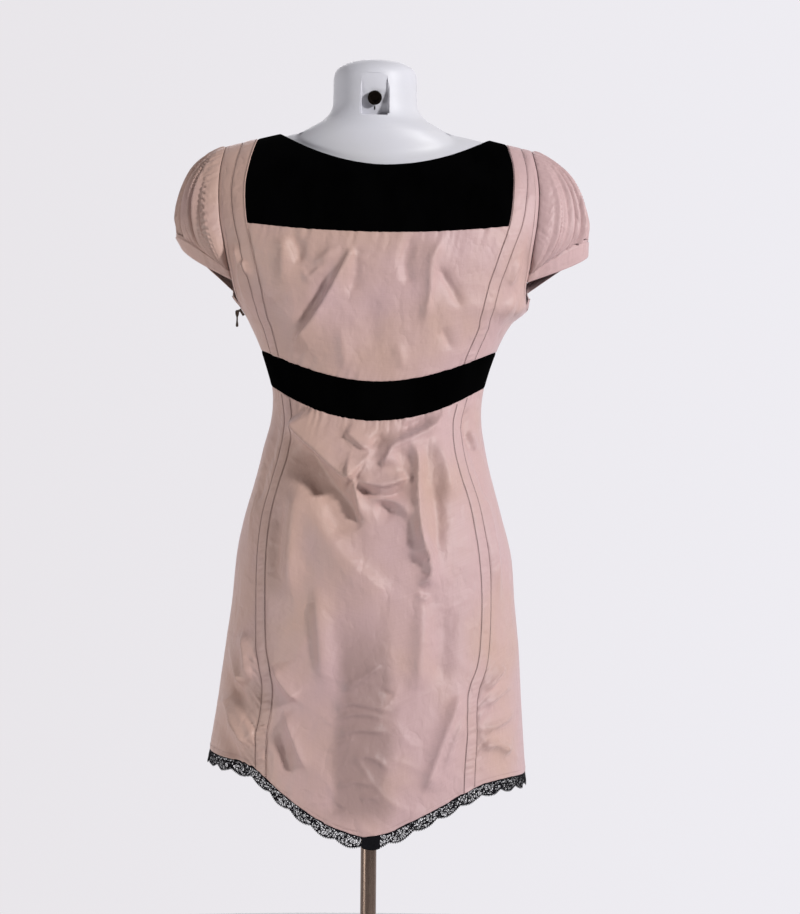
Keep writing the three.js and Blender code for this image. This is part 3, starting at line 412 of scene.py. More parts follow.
# The stand
POLE_RADIUS = 9.5
FOOT_RADIUS = 165
FOOT_THICK = 8
COLLAR_RADIUS = 19
COLLAR_TOP = 34.3
PLATE_RADIUS = 34
POLE_TOP = 699.7
# The collar and the pole stand this high, just over the foot
STAND_BASE = 8.3

# The zip at the left side seam
ZIP_FOOT = 902
ZIP_HEAD = 1094
COIL_PITCH = 1.9

TAU = 2 * math.pi
QUARTER = math.pi / 2


def read(rows, column, at):
    """Read a smooth curve through the named column of a table. The first column is the place."""
    places = np.array([row[0] for row in rows], float)
    values = np.array([getattr(row, column) for row in rows], float)
    last = len(rows) - 1
    before = np.clip(np.arange(last + 1) - 1, 0, last)
    after = np.clip(np.arange(last + 1) + 1, 0, last)
    slopes = (values[after] - values[before]) / (places[after] - places[before])
    at = np.clip(np.asarray(at, float), places[0], places[-1])
    i = np.clip(np.searchsorted(places, at, side="right") - 1, 0, last - 1)
    span = places[i + 1] - places[i]
    t = (at - places[i]) / span
    t2 = t * t
    t3 = t2 * t
    return (
        values[i] * (2 * t3 - 3 * t2 + 1)
        + slopes[i] * span * (t3 - 2 * t2 + t)
        + values[i + 1] * (3 * t2 - 2 * t3)
        + slopes[i + 1] * span * (t3 - t2)
    )


def mix(a, b, t):
    return a + (b - a) * t


def smooth(low, high, at):
    """Climb from 0 at low to 1 at high."""
    t = np.clip((np.asarray(at, float) - low) / (high - low), 0, 1)
    return t * t * (3 - 2 * t)


def unit(vectors):
    return vectors / np.maximum(np.linalg.norm(vectors, axis=-1, keepdims=True), 1e-9)


def turned_out(vectors, face):
    """The vectors along a line of the cloth, or their opposites, so that they point out of it."""
    return -vectors if vectors[len(vectors) // 2, 1] * face < 0 else vectors


def tilt_share(height, top=SHOULDER_TOP):
    return smooth(TILT_START, top, height)


def shoulder_drop(out):
    return SHOULDER_SLOPE * (np.hypot(out, SHOULDER_EASE) - SHOULDER_EASE)


def shoulder_round(height, top=SHOULDER_TOP):
    t = np.clip((np.asarray(height, float) - ROUND_START) / (top - ROUND_START), 0, 1)
    return np.sqrt(1 - t * t)


def wave(turns, seed):
    """An uneven ripple: its crests are neither equally spaced nor equally high."""
    wander = 0.35 * np.sin(0.9 * turns + seed) + 0.22 * np.sin(2.3 * turns + 1.7 * seed)
    crest = np.sin(TAU * (turns + wander))
    return crest * (0.7 + 0.3 * np.sin(1.9 * turns + 2.1 * seed))


def pleats(turns, seed):
    """Round-topped pleats with sharp valleys, uneven in width and depth, from -1 to 1."""
    wander = 0.45 * np.sin(0.83 * turns + seed) + 0.25 * np.sin(2.1 * turns + 1.7 * seed)
    crest = np.abs(np.sin(math.pi * (turns + wander)))
    return (2 * crest - 1) * (0.66 + 0.34 * np.sin(1.7 * turns + 2.3 * seed))


def smooth_path(points):
    """A curve through the points of a fold's path."""
    p = np.array(points, float)
    padded = np.vstack([2 * p[0] - p[1], p, 2 * p[-1] - p[-2]])
    parts = []
    for i in range(1, len(padded) - 2):
        a, b, c, d = padded[i - 1 : i + 3]
        for t in np.arange(PATH_STEPS) / PATH_STEPS:
            parts.append(
                0.5 * (2 * b + (c - a) * t + (2 * a - 5 * b + 4 * c - d) * t * t
                       + (3 * b - a - 3 * c + d) * t**3)
            )
    parts.append(p[-1])
    return np.array(parts)


def fold_height(face, x, z):
    """How far the folds stand out at places on the front or back."""
    total = np.zeros_like(x)
    for fold in FOLDS[face]:
        path = smooth_path(fold.path)
        reach = FOLD_REACH * max(fold.left, fold.right)
        close = (
            (x > path[:, 0].min() - reach) & (x < path[:, 0].max() + reach)
            & (z > path[:, 1].min() - reach) & (z < path[:, 1].max() + reach)
        )
        if not close.any():
            continue
        px, pz = x[close], z[close]
        best = np.full(px.shape, np.inf)
        along = np.zeros_like(px)
        side = np.zeros_like(px)
        steps = len(path) - 1
        for i in range(steps):
            (ax, az), (bx, bz) = path[i], path[i + 1]
            dx, dz = bx - ax, bz - az
            t = np.clip(((px - ax) * dx + (pz - az) * dz) / (dx * dx + dz * dz), 0, 1)
            away = np.hypot(px - ax - t * dx, pz - az - t * dz)
            nearer = away < best
            best = np.where(nearer, away, best)
            along = np.where(nearer, (i + t) / steps, along)
            beside = ((px - ax) * dz - (pz - az) * dx) / np.hypot(dx, dz)
            side = np.where(nearer, beside, side)
        # The turn from one width to the other is eased, so that the ends stay round
        lean = smooth(-1, 1, -face * side / np.maximum(best, 1e-6))
        width = FOLD_WIDTH * mix(fold.left, fold.right, lean)
        ends = smooth(0, fold.fade, np.minimum(along, 1 - along))
        total[close] += fold.rise * np.exp(-((best / width) ** fold.sharp)) * mix(FOLD_END, 1, ends)
    total *= np.where(z > BAND_HEIGHT, BODICE_FOLD_STRENGTH, SKIRT_FOLD_STRENGTH)
    hollow = DEEPEST_FOLD * np.tanh(total / DEEPEST_FOLD)
    return np.where(total < 0, hollow, total)


def garment(face, angle, height, folded=True):
    """Points of the garment's outside. Angle 0 is the middle of that face, a quarter turn its side."""
    angle, height = np.broadcast_arrays(np.asarray(angle, float), np.asarray(height, float))
    half = read(DRESS_RINGS, "half", height)
    square = read(DRESS_RINGS, "square", height)
    rounding = shoulder_round(height)
    depth = read(DRESS_RINGS, FACE_NAMES[face], height) * rounding
    across = np.sin(angle)
    reach = half * across
    x = reach + read(DRESS_RINGS, "centre", height)
    y = face * depth * np.maximum(0, 1 - np.abs(across) ** square) ** (1 / square)
    z = height - tilt_share(height) * shoulder_drop(x)
    if folded:
        away = np.stack([reach / half**2, y / np.maximum(depth**2, 1)])
        away = away / np.maximum(np.hypot(away[0], away[1]), 1e-9)
        fold = fold_height(face, x, z) * rounding * (1 - smooth(FOLD_FADE_START, 1, np.abs(across)))
        x = x + fold * away[0]
        y = y + fold * away[1]
    return np.stack([x, y, z], -1)


def strip_inner(face, side, height):
    rows = STRIP_ROWS[face]
    out = read(rows, "reach", height) + side * read(rows, "lean", height)
    return np.arcsin(np.clip(out / read(DRESS_RINGS, "half", height), 0, 1))


def strip_outer(face, side, height):
    inner = strip_inner(face, side, height)
    step = 0.02
    gap = garment(face, inner + step, height, False) - garment(face, inner, height, False)
    width = mix(STRIP_WIDTH, STRIP_SHOULDER_WIDTH, tilt_share(height))
    return inner + step * width / np.linalg.norm(gap, axis=-1)


def side_edge(face, height):
    out = read(ARMHOLE_ROWS, FACE_NAMES[face], height)
    edge = np.arcsin(np.clip(out / read(DRESS_RINGS, "half", height), 0, 1))
    return np.where(np.asarray(height) <= ARMHOLE_BOTTOM, QUARTER, edge)


def column_angle(face, zone, side, share, height):
    """The angle of a column of the cloth at a height. In the middle zone the share runs -1 to 1."""
    if zone == "middle":
        hand = np.where(share < 0, RIGHT, LEFT)
        inner = np.where(
            share < 0, strip_inner(face, RIGHT, height), strip_inner(face, LEFT, height)
        )
        return hand * np.arcsin(np.abs(share) * np.sin(inner))
    inner = strip_inner(face, side, height)
    outer = strip_outer(face, side, height)
    if zone == "strip":
        return side * mix(inner, outer, share)
    return side * mix(outer, side_edge(face, height), share)


def across_seam(seam, face, angle, height):
    """The height of a seam that runs across, at an angle."""
    reach = np.sin(angle) * read(DRESS_RINGS, "half", height)
    if seam == "hem":
        level = mix(HEM_RIGHT, HEM_LEFT, (1 + np.sin(angle)) / 2)
        if face == FRONT:
            return level
        out = np.abs(reach)
        climb = np.where(reach > 0, read(HEM_ROWS, "left", out), read(HEM_ROWS, "right", out))
        return HEM_POINT + climb
    if seam in ("band_bottom", "band_top"):
        edge = seam.removeprefix("band_")
        return mix(getattr(BAND[face], edge), getattr(BAND_SIDE, edge), np.sin(angle) ** 2)
    if seam == "yoke":
        return YOKE_EDGE[face] + YOKE_EDGE_RISE * (reach / YOKE_EDGE_REACH) ** 2
    out = reach - NECK_LEAN
    share = np.abs(out) / np.where(out > 0, NECK_REACH[LEFT], NECK_REACH[RIGHT])
    low, bow = NECKLINE[face]
    return np.minimum(SHOULDER_TOP, low + (SHOULDER_TOP - low) * share**bow)


# The width of the turning inside each seam
TURNING = 1.4
SEAM_STARTS = {"hem": 550, "band_bottom": 985, "band_top": 1030, "yoke": 1195, "top": 1310}


def seam_height(face, zone, side, share, seam):
    """The height where each column meets a seam that runs across."""
    share = np.asarray(share, float)
    if seam == "top" and zone != "middle":
        return np.full(share.shape, float(SHOULDER_TOP))
    height = np.full(share.shape, float(SEAM_STARTS[seam]))
    for _ in range(20):
        angle = column_angle(face, zone, side, share, height)
        height = mix(height, across_seam(seam, face, angle, height), 0.7)
    return height


def edged_shares(length, step, low=0.0, high=1.0):
    """Even shares along a length, with closer ones at both ends for the turned edges."""
    count = max(2, int(round(length / step)))
    edge = np.array([0, 0.5, 1.1, 1.9, 3.0]) / length
    middle = np.linspace(edge[-1], 1 - edge[-1], max(2, count - 2))[1:-1]
    shares = np.concatenate([edge, middle, 1 - edge[::-1]])
    return low + (high - low) * shares


def arc_lengths(points, axis):
    """Distances along the lines of a grid of points, from their first end."""
    steps = np.linalg.norm(np.diff(points, axis=axis), axis=-1)
    zero = np.zeros_like(np.take(steps, [0], axis=axis))
    return np.cumsum(np.concatenate([zero, steps], axis=axis), axis=axis)


def grid_normals(points, outward):
    """Unit normals of a grid of points, turned to the side that outward gives."""
    normals = unit(np.cross(np.gradient(points, axis=0), np.gradient(points, axis=1)))
    middle = tuple(n // 2 for n in points.shape[:2])
    return -normals if np.dot(normals[middle], outward) < 0 else normals


def turned_edges(points, normals, depth=1.0, width=1.5, sides=(True, True, True, True)):
    """Roll the borders of a panel in, as at a seam. Sides are the first and last of each axis."""
    across = arc_lengths(points, 0)
    up = arc_lengths(points, 1)
    gaps = [across, across[-1:] - across, up, up[:, -1:] - up]
    sink = np.zeros(points.shape[:2])
    for gap, rolled in zip(gaps, sides):
        if rolled:
            sink = np.maximum(sink, np.exp(-((gap / width) ** 2)))
    return points - normals * (depth * sink)[..., None]


class Sheet:
    """One cut piece of cloth: its place on the garment, its points and its size when flat."""

    def __init__(self, face, zone, side, low, high, step, width, length):
        self.zone = zone
        self.side = side
        if zone == "middle":
            shares = edged_shares(width, step, -1, 1)
        else:
            shares = edged_shares(width, step)
        rows = edged_shares(length, step)
        foot = seam_height(face, zone, side, shares, low)
        head = seam_height(face, zone, side, shares, high)
        self.heights = foot[:, None] + (head - foot)[:, None] * rows[None, :]
        self.shares = np.broadcast_to(shares[:, None], self.heights.shape)
        angles = column_angle(face, zone, side, self.shares, self.heights)
        self.plain = garment(face, angles, self.heights, False)
        self.points = garment(face, angles, self.heights)
        self.outward = np.array([0.3 * side, face, 0.2])
        self.normals = grid_normals(self.points, self.outward)
        self.across = arc_lengths(self.plain, 0)
        self.up = arc_lengths(self.plain, 1)

    def raise_by(self, height):
        border = np.minimum(self.across, self.across[-1:] - self.across)
        self.points = self.points + self.normals * (height * smooth(0, 5, border))[..., None]

    def finish_edges(self, depth=0.5, width=0.9):
        """Roll the borders in, and add a hidden turning along both upright ones."""
        self.normals = grid_normals(self.points, self.outward)
        points = turned_edges(self.points, self.normals, depth, width)
        ends = []
        for border, inner in ((0, 3), (-1, -4)):
            away = unit(points[border] - points[inner])
            ends.append((points[border] + away * TURNING - self.normals[border] * TURNING)[None])
        self.points = np.concatenate([ends[0], points, ends[1]])
        self.plain = with_end_columns(self.plain)
        self.normals = with_end_columns(self.normals)


def flat_size(points):
    """Width, length and area in metres of a grid of points when it is laid flat."""
    across = arc_lengths(points, 0)[-1].max() * MM
    up = arc_lengths(points, 1)[:, -1].max() * MM
    a = points[1:, 1:] - points[:-1, :-1]
    b = points[1:, :-1] - points[:-1, 1:]
    area = 0.5 * np.linalg.norm(np.cross(a, b), axis=-1).sum() * MM * MM
    return across, up, min(area, across * up)


def mesh_object(name, vertices, faces, uvs=None, smooth_faces=True):
    """A mesh object from points in metres. The UV map holds each point's place on the cloth."""
    mesh = bpy.data.meshes.new(name)
    mesh.from_pydata([tuple(v) for v in np.asarray(vertices, float)], [], faces)
    for layer_name, values in (uvs or {}).items():
        layer = mesh.uv_layers.new(name=layer_name)
        corner = np.empty(len(mesh.loops), np.int32)
        mesh.loops.foreach_get("vertex_index", corner)
        layer.data.foreach_set("uv", np.asarray(values, np.float32)[corner].ravel())
    if smooth_faces:
        mesh.shade_smooth()
    mesh.update()
    obj = bpy.data.objects.new(name, mesh)
    bpy.context.scene.collection.objects.link(obj)
    return obj


def tube_faces(rings, corners):
    """Faces of a tube of rings of points, closed at both ends."""
    faces = []
    for start in range(0, (rings - 1) * corners, corners):
        for j in range(corners):
            a, b = start + j, start + (j + 1) % corners
            faces.append((a, b, b + corners, a + corners))
    last = (rings - 1) * corners
    return faces + [tuple(range(corners - 1, -1, -1)), tuple(range(last, last + corners))]


def grid_object(name, points, normals, uvs):
    """A mesh from a grid of points in millimetres, its faces on the side of the normals."""
    wide, tall = points.shape[:2]
    index = np.arange(wide * tall).reshape(wide, tall)
    quads = np.stack([index[:-1, :-1], index[1:, :-1], index[1:, 1:], index[:-1, 1:]], -1)
    i, j = wide // 2, tall // 2
    along = points[min(i + 1, wide - 1), j] - points[i, j]
    up = points[i, min(j + 1, tall - 1)] - points[i, j]
    if np.dot(np.cross(along, up), normals[i, j]) < 0:
        quads = quads[..., ::-1]
    flat_uvs = {key: value.reshape(-1, 2) for key, value in uvs.items()}
    return mesh_object(name, points.reshape(-1, 3) * MM, quads.reshape(-1, 4).tolist(), flat_uvs)


def cloth_uv(points):
    """Each point's distance across and up the cloth, in metres."""
    across = arc_lengths(points, 0)
    up = arc_lengths(points, 1)
    return np.stack([across - across[-1:] / 2, up], -1) * MM


def dress_piece(obj, material, nodes):
    """Material, body, slot and the solids that a piece stands for."""
    obj.data.materials.clear()
    obj.data.materials.append(material)
    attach(obj, DRESS_BODY)
    if nodes:
        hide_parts(*nodes)


def cloth_piece(name, points, normals, uvs, flat, wall, finish, held, rests_on):
    """One cut piece of cloth, its thickness inwards. Its name is its solid's name and its kind."""
    obj = grid_object(name, points, normals, uvs)
    shell = obj.modifiers.new("wall", "SOLIDIFY")
    shell.thickness = wall
    shell.offset = -1
    node, _, kind = name.rpartition("_")
    dress_piece(obj, finish, [node])
    width, length, area = flat_size(flat)


class Value:
    """A number in a material, with the usual arithmetic."""

    def __init__(self, finish, socket):
        self.finish = finish
        self.socket = socket

    def _math(self, operation, *values):
        return self.finish.value("ShaderNodeMath", {"operation": operation}, dict(enumerate(values)))

    def __add__(self, other):
        return self._math("ADD", self, other)

    def __sub__(self, other):
        return self._math("SUBTRACT", self, other)

    def __rsub__(self, other):
        return self._math("SUBTRACT", other, self)

    def __mul__(self, other):
        return self._math("MULTIPLY", self, other)

    __radd__ = __add__
    __rmul__ = __mul__

    def __abs__(self):
        return self._math("ABSOLUTE", self)

    def __lt__(self, other):
        return self._math("LESS_THAN", self, other)

    def __gt__(self, other):
        return self._math("GREATER_THAN", self, other)

    def sine(self):
        return self._math("SINE", self)

    def fraction(self):
        return self._math("FRACT", self)

    def larger(self, other):
        return self._math("MAXIMUM", self, other)

    def smaller(self, other):
        return self._math("MINIMUM", self, other)

    def climb(self, low, high):
        """0 below low, 1 above high, eased between them."""
        sockets = {"Value": self, "From Min": low, "From Max": high}
        return self.finish.value("ShaderNodeMapRange", {"interpolation_type": "SMOOTHSTEP"}, sockets)


class Nodes:
    """The nodes of a material or of the world."""

    def __init__(self, tree):
        self.tree = tree

    def set(self, node, sockets):
        for key, value in sockets.items():
            socket = node.inputs[key]
            if isinstance(value, Value):
                value = value.socket
            if isinstance(value, bpy.types.NodeSocket):
                self.tree.links.new(value, socket)
            else:
                socket.default_value = value

    def node(self, kind, settings=None, sockets=None):
        """Any node: its settings first, then what its sockets hold or are linked to."""
        node = self.tree.nodes.new(kind)
        for key, value in (settings or {}).items():
            setattr(node, key, value)
        self.set(node, sockets or {})
        return node

    def value(self, kind, settings=None, sockets=None):
        return Value(self, self.node(kind, settings, sockets).outputs[0])

    def blend(self, factor, first, second):
        """Mix two colours, each a colour or a socket."""
        kind = {"data_type": "RGBA"}
        return self.node("ShaderNodeMix", kind, {0: factor, 6: first, 7: second}).outputs[2]

    def split(self, vector):
        """The three numbers of a vector."""
        parts = self.node("ShaderNodeSeparateXYZ", None, {0: vector}).outputs
        return [Value(self, part) for part in parts]

    def place(self):
        """The three coordinates of a point on the object, in metres."""
        return self.split(self.node("ShaderNodeTexCoord").outputs["Object"])

    def cloth_place(self, layer="cloth"):
        """A point's distance across and up its cloth, in metres."""
        return self.split(self.node("ShaderNodeUVMap", {"uv_map": layer}).outputs[0])[:2]

    def noise(self, scales, coordinates, detail=2.0, roughness=0.5):
        """Noise from 0 to 1, with a scale in cycles a metre along each coordinate."""
        scaled = {i: c * s for i, (c, s) in enumerate(zip(coordinates, scales))}
        vector = self.node("ShaderNodeCombineXYZ", None, scaled).outputs[0]
        sockets = {"Vector": vector, "Scale": 1.0, "Detail": detail, "Roughness": roughness}
        return self.value("ShaderNodeTexNoise", None, sockets)

    def bump(self, height, distance, strength, under=None):
        sockets = {"Height": height, "Distance": distance, "Strength": strength}
        if under is not None:
            sockets["Normal"] = under
        return self.node("ShaderNodeBump", None, sockets).outputs[0]


class Finish(Nodes):
    """A material made of nodes around one surface shader."""

    def __init__(self, name, **constants):
        self.material = bpy.data.materials.new(name)
        self.material.use_nodes = True
        super().__init__(self.material.node_tree)
        self.tree.nodes.clear()
        sockets = {key.replace("_", " "): value for key, value in constants.items()}
        self.shader = self.node("ShaderNodeBsdfPrincipled", None, sockets)
        self.node("ShaderNodeOutputMaterial", None, {"Surface": self.shader.outputs[0]})

    def finished(self, sockets):
        """The material, once what changes over its surface is linked."""
        self.set(self.shader, sockets)
        return self.material


def scaled_colour(colour, factor):
    return tuple(min(1.0, c * factor) for c in colour[:3]) + (1.0,)


def taffeta_finish(settings, name="taffeta", shaded_middle=False):
    """Two-tone silk taffeta: a fine ribbed weave, cross slubs, pinker and browner patches, painted sheen
    and shade that turn the lit right lilac and the wearer's left browner, and with shaded_middle a painted
    shade low in the middle.
    """
    finish = Finish(
        name,
        Specular_IOR_Level=0.34,
        Sheen_Weight=0.22,
        Sheen_Roughness=0.4,
        Sheen_Tint=(0.86, 0.74, 0.8, 1.0),
    )
    u, v = finish.cloth_place()
    x, y, z = finish.place()
    slub = finish.noise((14, 1300), (u, v), 3.0)
    warp = finish.noise((1500, 22), (u, v), 2.0)
    cloud = finish.noise((9, 9, 7), (x, y, z), 3.0)
    crumple = finish.noise((34, 34, 24), (x, y, z), 4.0, 0.6)
    crease = abs(finish.noise((21, 21, 15), (x + cloud * 0.02, y, z + crumple * 0.01), 3.0, 0.55) - 0.5)
    ribs = (v * (TAU / 0.00045)).sine() * 0.5 + (u * (TAU / 0.0003)).sine() * 0.2
    pink = settings.taffeta_colour[:]
    tan = (pink[0], pink[1] * 0.99, pink[2] * 0.88)
    lilac = (pink[0] * 0.96, pink[1] * 0.97, pink[2] * 1.04)
    # Painted sheen and shade: over its random patches the silk is painted browner towards the wearer's
    # left, away from the key light, and more lilac towards the lit right
    patches_and_side_sheen = (cloud - x * 0.9).climb(0.3, 0.7)
    base = finish.blend(patches_and_side_sheen, scaled_colour(tan, 0.97), scaled_colour(lilac, 1.03))
    grain = (slub * 0.6 + warp * 0.4).climb(0.25, 0.75)
    base = finish.blend(grain * 0.2, base, scaled_colour(pink, 0.62))
    if shaded_middle:
        # Painted shade: low in the middle the cloth is painted darker in a soft upright column, where it
        # lies against what is behind it and lets less light through
        wander = (cloud - 0.5) * 0.06 + (crumple - 0.5) * 0.02
        column = abs(x - 0.009 + wander)
        shaded_column = 1 - column.climb(0.022, 0.042)
        span = z.climb(0.497, 0.525) * (1 - z.climb(0.67, 0.77))
        base = finish.blend(shaded_column * span * 0.9, base, scaled_colour(pink, 0.6))
    fine = finish.bump(ribs + slub * 1.4, 0.00004, 0.5)
    middling = finish.bump(crumple, 0.0035, 0.55, fine)
    coarse = finish.bump(crease.smaller(0.08) * 10, 0.0009, 0.7, middling)
    return finish.finished({"Base Color": base, "Roughness": 0.44 + grain * 0.12, "Normal": coarse})


def velvet_finish(settings):
    """Black velvet: a short matt pile that takes a faint light at its edges."""
    finish = Finish("velvet", Specular_IOR_Level=0.0, Sheen_Weight=0.004, Sheen_Roughness=0.5)
    x, y, z = finish.place()
    pile = finish.noise((1400, 1400, 1400), (x, y, z), 2.0)
    nap = finish.noise((30, 30, 12), (x, y, z), 3.0)
    deep = scaled_colour(settings.velvet_colour, 0.5)
    base = finish.blend(nap.climb(0.3, 0.7), deep, settings.velvet_colour[:])
    normal = finish.bump(pile + nap * 2, 0.0003, 0.7)
    return finish.finished({"Base Color": base, "Roughness": 0.9 + pile * 0.1, "Normal": normal})


def lace_finish(settings):
    """Black lace: a fine net with rings and leaves, a corded edge and picots."""
    finish = Finish("lace", Roughness=0.8, Specular_IOR_Level=0.06)
    u, v = finish.cloth_place()
    edge, dark_fill = finish.cloth_place("border")
    bend = finish.noise((240, 240), (u, v), 2.0)
    flat = finish.node("ShaderNodeCombineXYZ", None, {0: u + bend * 0.0016, 1: v + bend * 0.001}).outputs[0]
    net = finish.value(
        "ShaderNodeTexVoronoi", {"feature": "DISTANCE_TO_EDGE"}, {"Vector": flat, "Scale": 520.0}
    )
    blooms = finish.value(
        "ShaderNodeTexVoronoi", {"feature": "F1"}, {"Vector": flat, "Scale": 235.0, "Randomness": 0.8}
    )
    threads = net < 0.1
    rings = abs((blooms * 1.9 + bend * 0.7).fraction() - 0.5) < 0.2
    leaves = bend > 0.6
    heading = v < 0.0021
    cord = abs(edge - (PICOT + 0.5) * MM) < 0.0006
    lashes = ((u * (TAU / 0.0021)).sine() > 0.25) * (edge < PICOT * MM)
    inside = edge > PICOT * MM
    solid = threads.larger(rings).larger(leaves) * inside
    # Painted shade: the lace is filled solid where the dark behind it shows through, at the side seams and
    # the point of the hem
    solid = solid.larger(heading).larger(cord).larger(lashes).larger(v < dark_fill)
    tint = finish.blend(bend, scaled_colour(settings.lace_colour[:], 0.6), settings.lace_colour[:])
    normal = finish.bump(rings + leaves, 0.0002, 0.6)
    return finish.finished({"Base Color": tint, "Alpha": solid, "Normal": normal})


def thread_finish(name, deep, light, specular, roughness):
    """Sewing thread with the twist of its plies, from one colour to another."""
    finish = Finish(name, Specular_IOR_Level=specular)
    x, y, z = finish.place()
    ply = ((x + z * 1.7 + y) * (TAU / 0.0006)).sine() * 0.5 + 0.5
    base = finish.blend(ply, deep, light)
    return finish.finished({"Base Color": base, "Roughness": roughness + ply * 0.2})


def form_finish(settings):
    """The form's satin moulded shell, faintly grained and a little yellowed in places."""
    finish = Finish("form_shell", Specular_IOR_Level=0.45)
    x, y, z = finish.place()
    grain = finish.noise((900, 900, 900), (x, y, z), 2.0)
    cloud = finish.noise((11, 11, 11), (x, y, z), 3.0)
    warm = (settings.form_colour[0] * 0.96, settings.form_colour[1] * 0.95, settings.form_colour[2] * 0.9)
    base = finish.blend(cloud.climb(0.3, 0.75) * 0.6, settings.form_colour[:], scaled_colour(warm, 1))
    normal = finish.bump(grain + cloud * 3, 0.00012, 0.5)
    return finish.finished({"Base Color": base, "Roughness": 0.42 + grain * 0.14, "Normal": normal})


def steel_finish(settings, name="stand_steel", dark=1.0):
    """Drawn steel with fine lengthwise lines and faint finger marks."""
    finish = Finish(name, Metallic=1.0)
    x, y, z = finish.place()
    lines = finish.noise((2600, 2600, 30), (x, y, z), 2.0)
    marks = finish.noise((60, 60, 24), (x, y, z), 4.0)
    colour = scaled_colour(settings.steel_colour, dark)
    base = finish.blend(marks.climb(0.35, 0.8) * 0.5, colour, scaled_colour(colour, 0.7))
    normal = finish.bump(lines, 0.00004, 0.5)
    worn = 0.16 + lines * 0.1 + marks * 0.12
    return finish.finished({"Base Color": base, "Roughness": worn, "Normal": normal})


def tape_finish(settings):
    """Woven zip tape."""
    finish = Finish("zip_tape", Specular_IOR_Level=0.3)
    _, y, z = finish.place()
    twill = ((y + z) * (TAU / 0.0008)).sine() * 0.5 + 0.5
    pink = settings.taffeta_colour
    base = finish.blend(twill, scaled_colour(pink, 0.55), scaled_colour(pink, 0.75))
    normal = finish.bump(twill, 0.0002, 0.6)
    return finish.finished({"Base Color": base, "Roughness": 0.7 + twill * 0.2, "Normal": normal})


def floor_finish():
    finish = Finish("studio_floor", Specular_IOR_Level=0.2)
    x, y, z = finish.place()
    cloud = finish.noise((3, 3, 3), (x, y, z), 3.0)
    base = finish.blend(cloud, (0.72, 0.71, 0.73, 1), (0.78, 0.77, 0.79, 1))
    return finish.finished({"Base Color": base, "Roughness": 0.8 + cloud * 0.1})


FINISHES = {}


def material(name, make):
    """A finish by its name, made the first time that it is asked for."""
    if name not in FINISHES:
        FINISHES[name] = make()
    return FINISHES[name]


def colour_setting(name, description, default):
    return bpy.props.FloatVectorProperty(
        name=name, description=description, size=4, subtype="COLOR", default=default, min=0, max=1,
    )


class DressSettings(bpy.types.PropertyGroup):
    """Sizes and colours of the dress."""

    grid_step: bpy.props.FloatProperty(
        name="Cloth detail", description="Spacing of the points of the cloth, in millimetres",
        default=2.15, min=1.5, max=10,
    )
    taffeta_wall: bpy.props.FloatProperty(
        name="Taffeta thickness", description="Thickness of the taffeta with its turnings",
        default=0.0006, unit="LENGTH",
    )
    velvet_wall: bpy.props.FloatProperty(
        name="Velvet thickness", description="Thickness of the velvet with its pile",
        default=0.0014, unit="LENGTH",
    )
    lace_wall: bpy.props.FloatProperty(
        name="Lace thickness", description="Thickness of the lace", default=0.0003, unit="LENGTH",
    )
    stitch_length: bpy.props.FloatProperty(
        name="Stitch length", description="Length of one topstitch, in millimetres", default=2.4,
    )
    taffeta_colour: colour_setting("Taffeta", "Mean colour of the taffeta", (0.47, 0.315, 0.295, 1))
    velvet_colour: colour_setting("Velvet", "Colour of the velvet", (0.0009, 0.0009, 0.001, 1))
    lace_colour: colour_setting("Lace", "Colour of the lace", (0.006, 0.006, 0.008, 1))
    thread_colour: colour_setting(
        "Topstitching", "Colour of the topstitching thread", (0.022, 0.012, 0.014, 1)
    )


class StandSettings(bpy.types.PropertyGroup):
    """Colours of the form and its stand."""

    form_colour: colour_setting("Form", "Colour of the form's shell", (0.53, 0.526, 0.57, 1))
    steel_colour: colour_setting("Steel", "Colour of the pole and foot", (0.2, 0.145, 0.115, 1))


class StageSettings(bpy.types.PropertyGroup):
    """Camera and light."""

    camera_distance: bpy.props.FloatProperty(
        name="Camera distance", description="From the pole's axis to the camera",
        default=3.2, unit="LENGTH",
    )
    camera_side: bpy.props.FloatProperty(
        name="Camera side", description="How far the camera stands to +X", default=-0.0336, unit="LENGTH",
    )
    camera_height: bpy.props.FloatProperty(
        name="Camera height", description="Height of the camera", default=0.925, unit="LENGTH",
    )
    camera_roll: bpy.props.FloatProperty(
        name="Camera roll", description="How far the camera leans", default=math.radians(0.5),
        unit="ROTATION",
    )
    lens: bpy.props.FloatProperty(
        name="Lens", description="Focal length", default=105.03, unit="CAMERA",
    )


def taffeta(settings, middle=False):
    # The back skirt has its own material, which carries the painted shade low in its middle
    name = "taffeta_back_skirt" if middle else "taffeta"
    return material(name, lambda: taffeta_finish(settings, name, middle))


def add_sheet(name, sheet, wall, finish, held, rests_on):
    uvs = {"cloth": cloth_uv(sheet.plain)}
    cloth_piece(name, sheet.points, sheet.normals, uvs, sheet.plain, wall, finish, held, rests_on)


# The plainer front needs fewer points
FACE_COARSENESS = {BACK: 1, FRONT: 1.6}
# About how wide and long each kind of panel is, which sets its number of points
PANEL_SIZES = {
    "skirt_middle": (250, 470), "skirt_strip": (STRIP_WIDTH, 440), "skirt_side": (95, 430),
    "bodice_middle": (250, 160), "bodice_strip": (STRIP_WIDTH, 265), "bodice_side": (60, 255),
    "yoke_middle": (300, 110),
}
STRIP_STEP = 1.8
STITCH_INSET = 0.8
EDGE_INSET = 5
UNDULATION = 0.45
STRIP_EDGE = {"depth": 0.5, "width": 0.8}
# The seams at a panel's foot and head
SKIRT_SEAMS = ("hem", "band_bottom")
BODICE_SEAMS = ("band_top", "top")
# The parts of one face, from the right side seam to the left: zone, side, first share and last share
FACE_PARTS = [
    ("side", RIGHT, 1, 0), ("strip", RIGHT, 1, 0), ("middle", 0, -1, 1), ("strip", LEFT, 0, 1),
    ("side", LEFT, 0, 1),
]


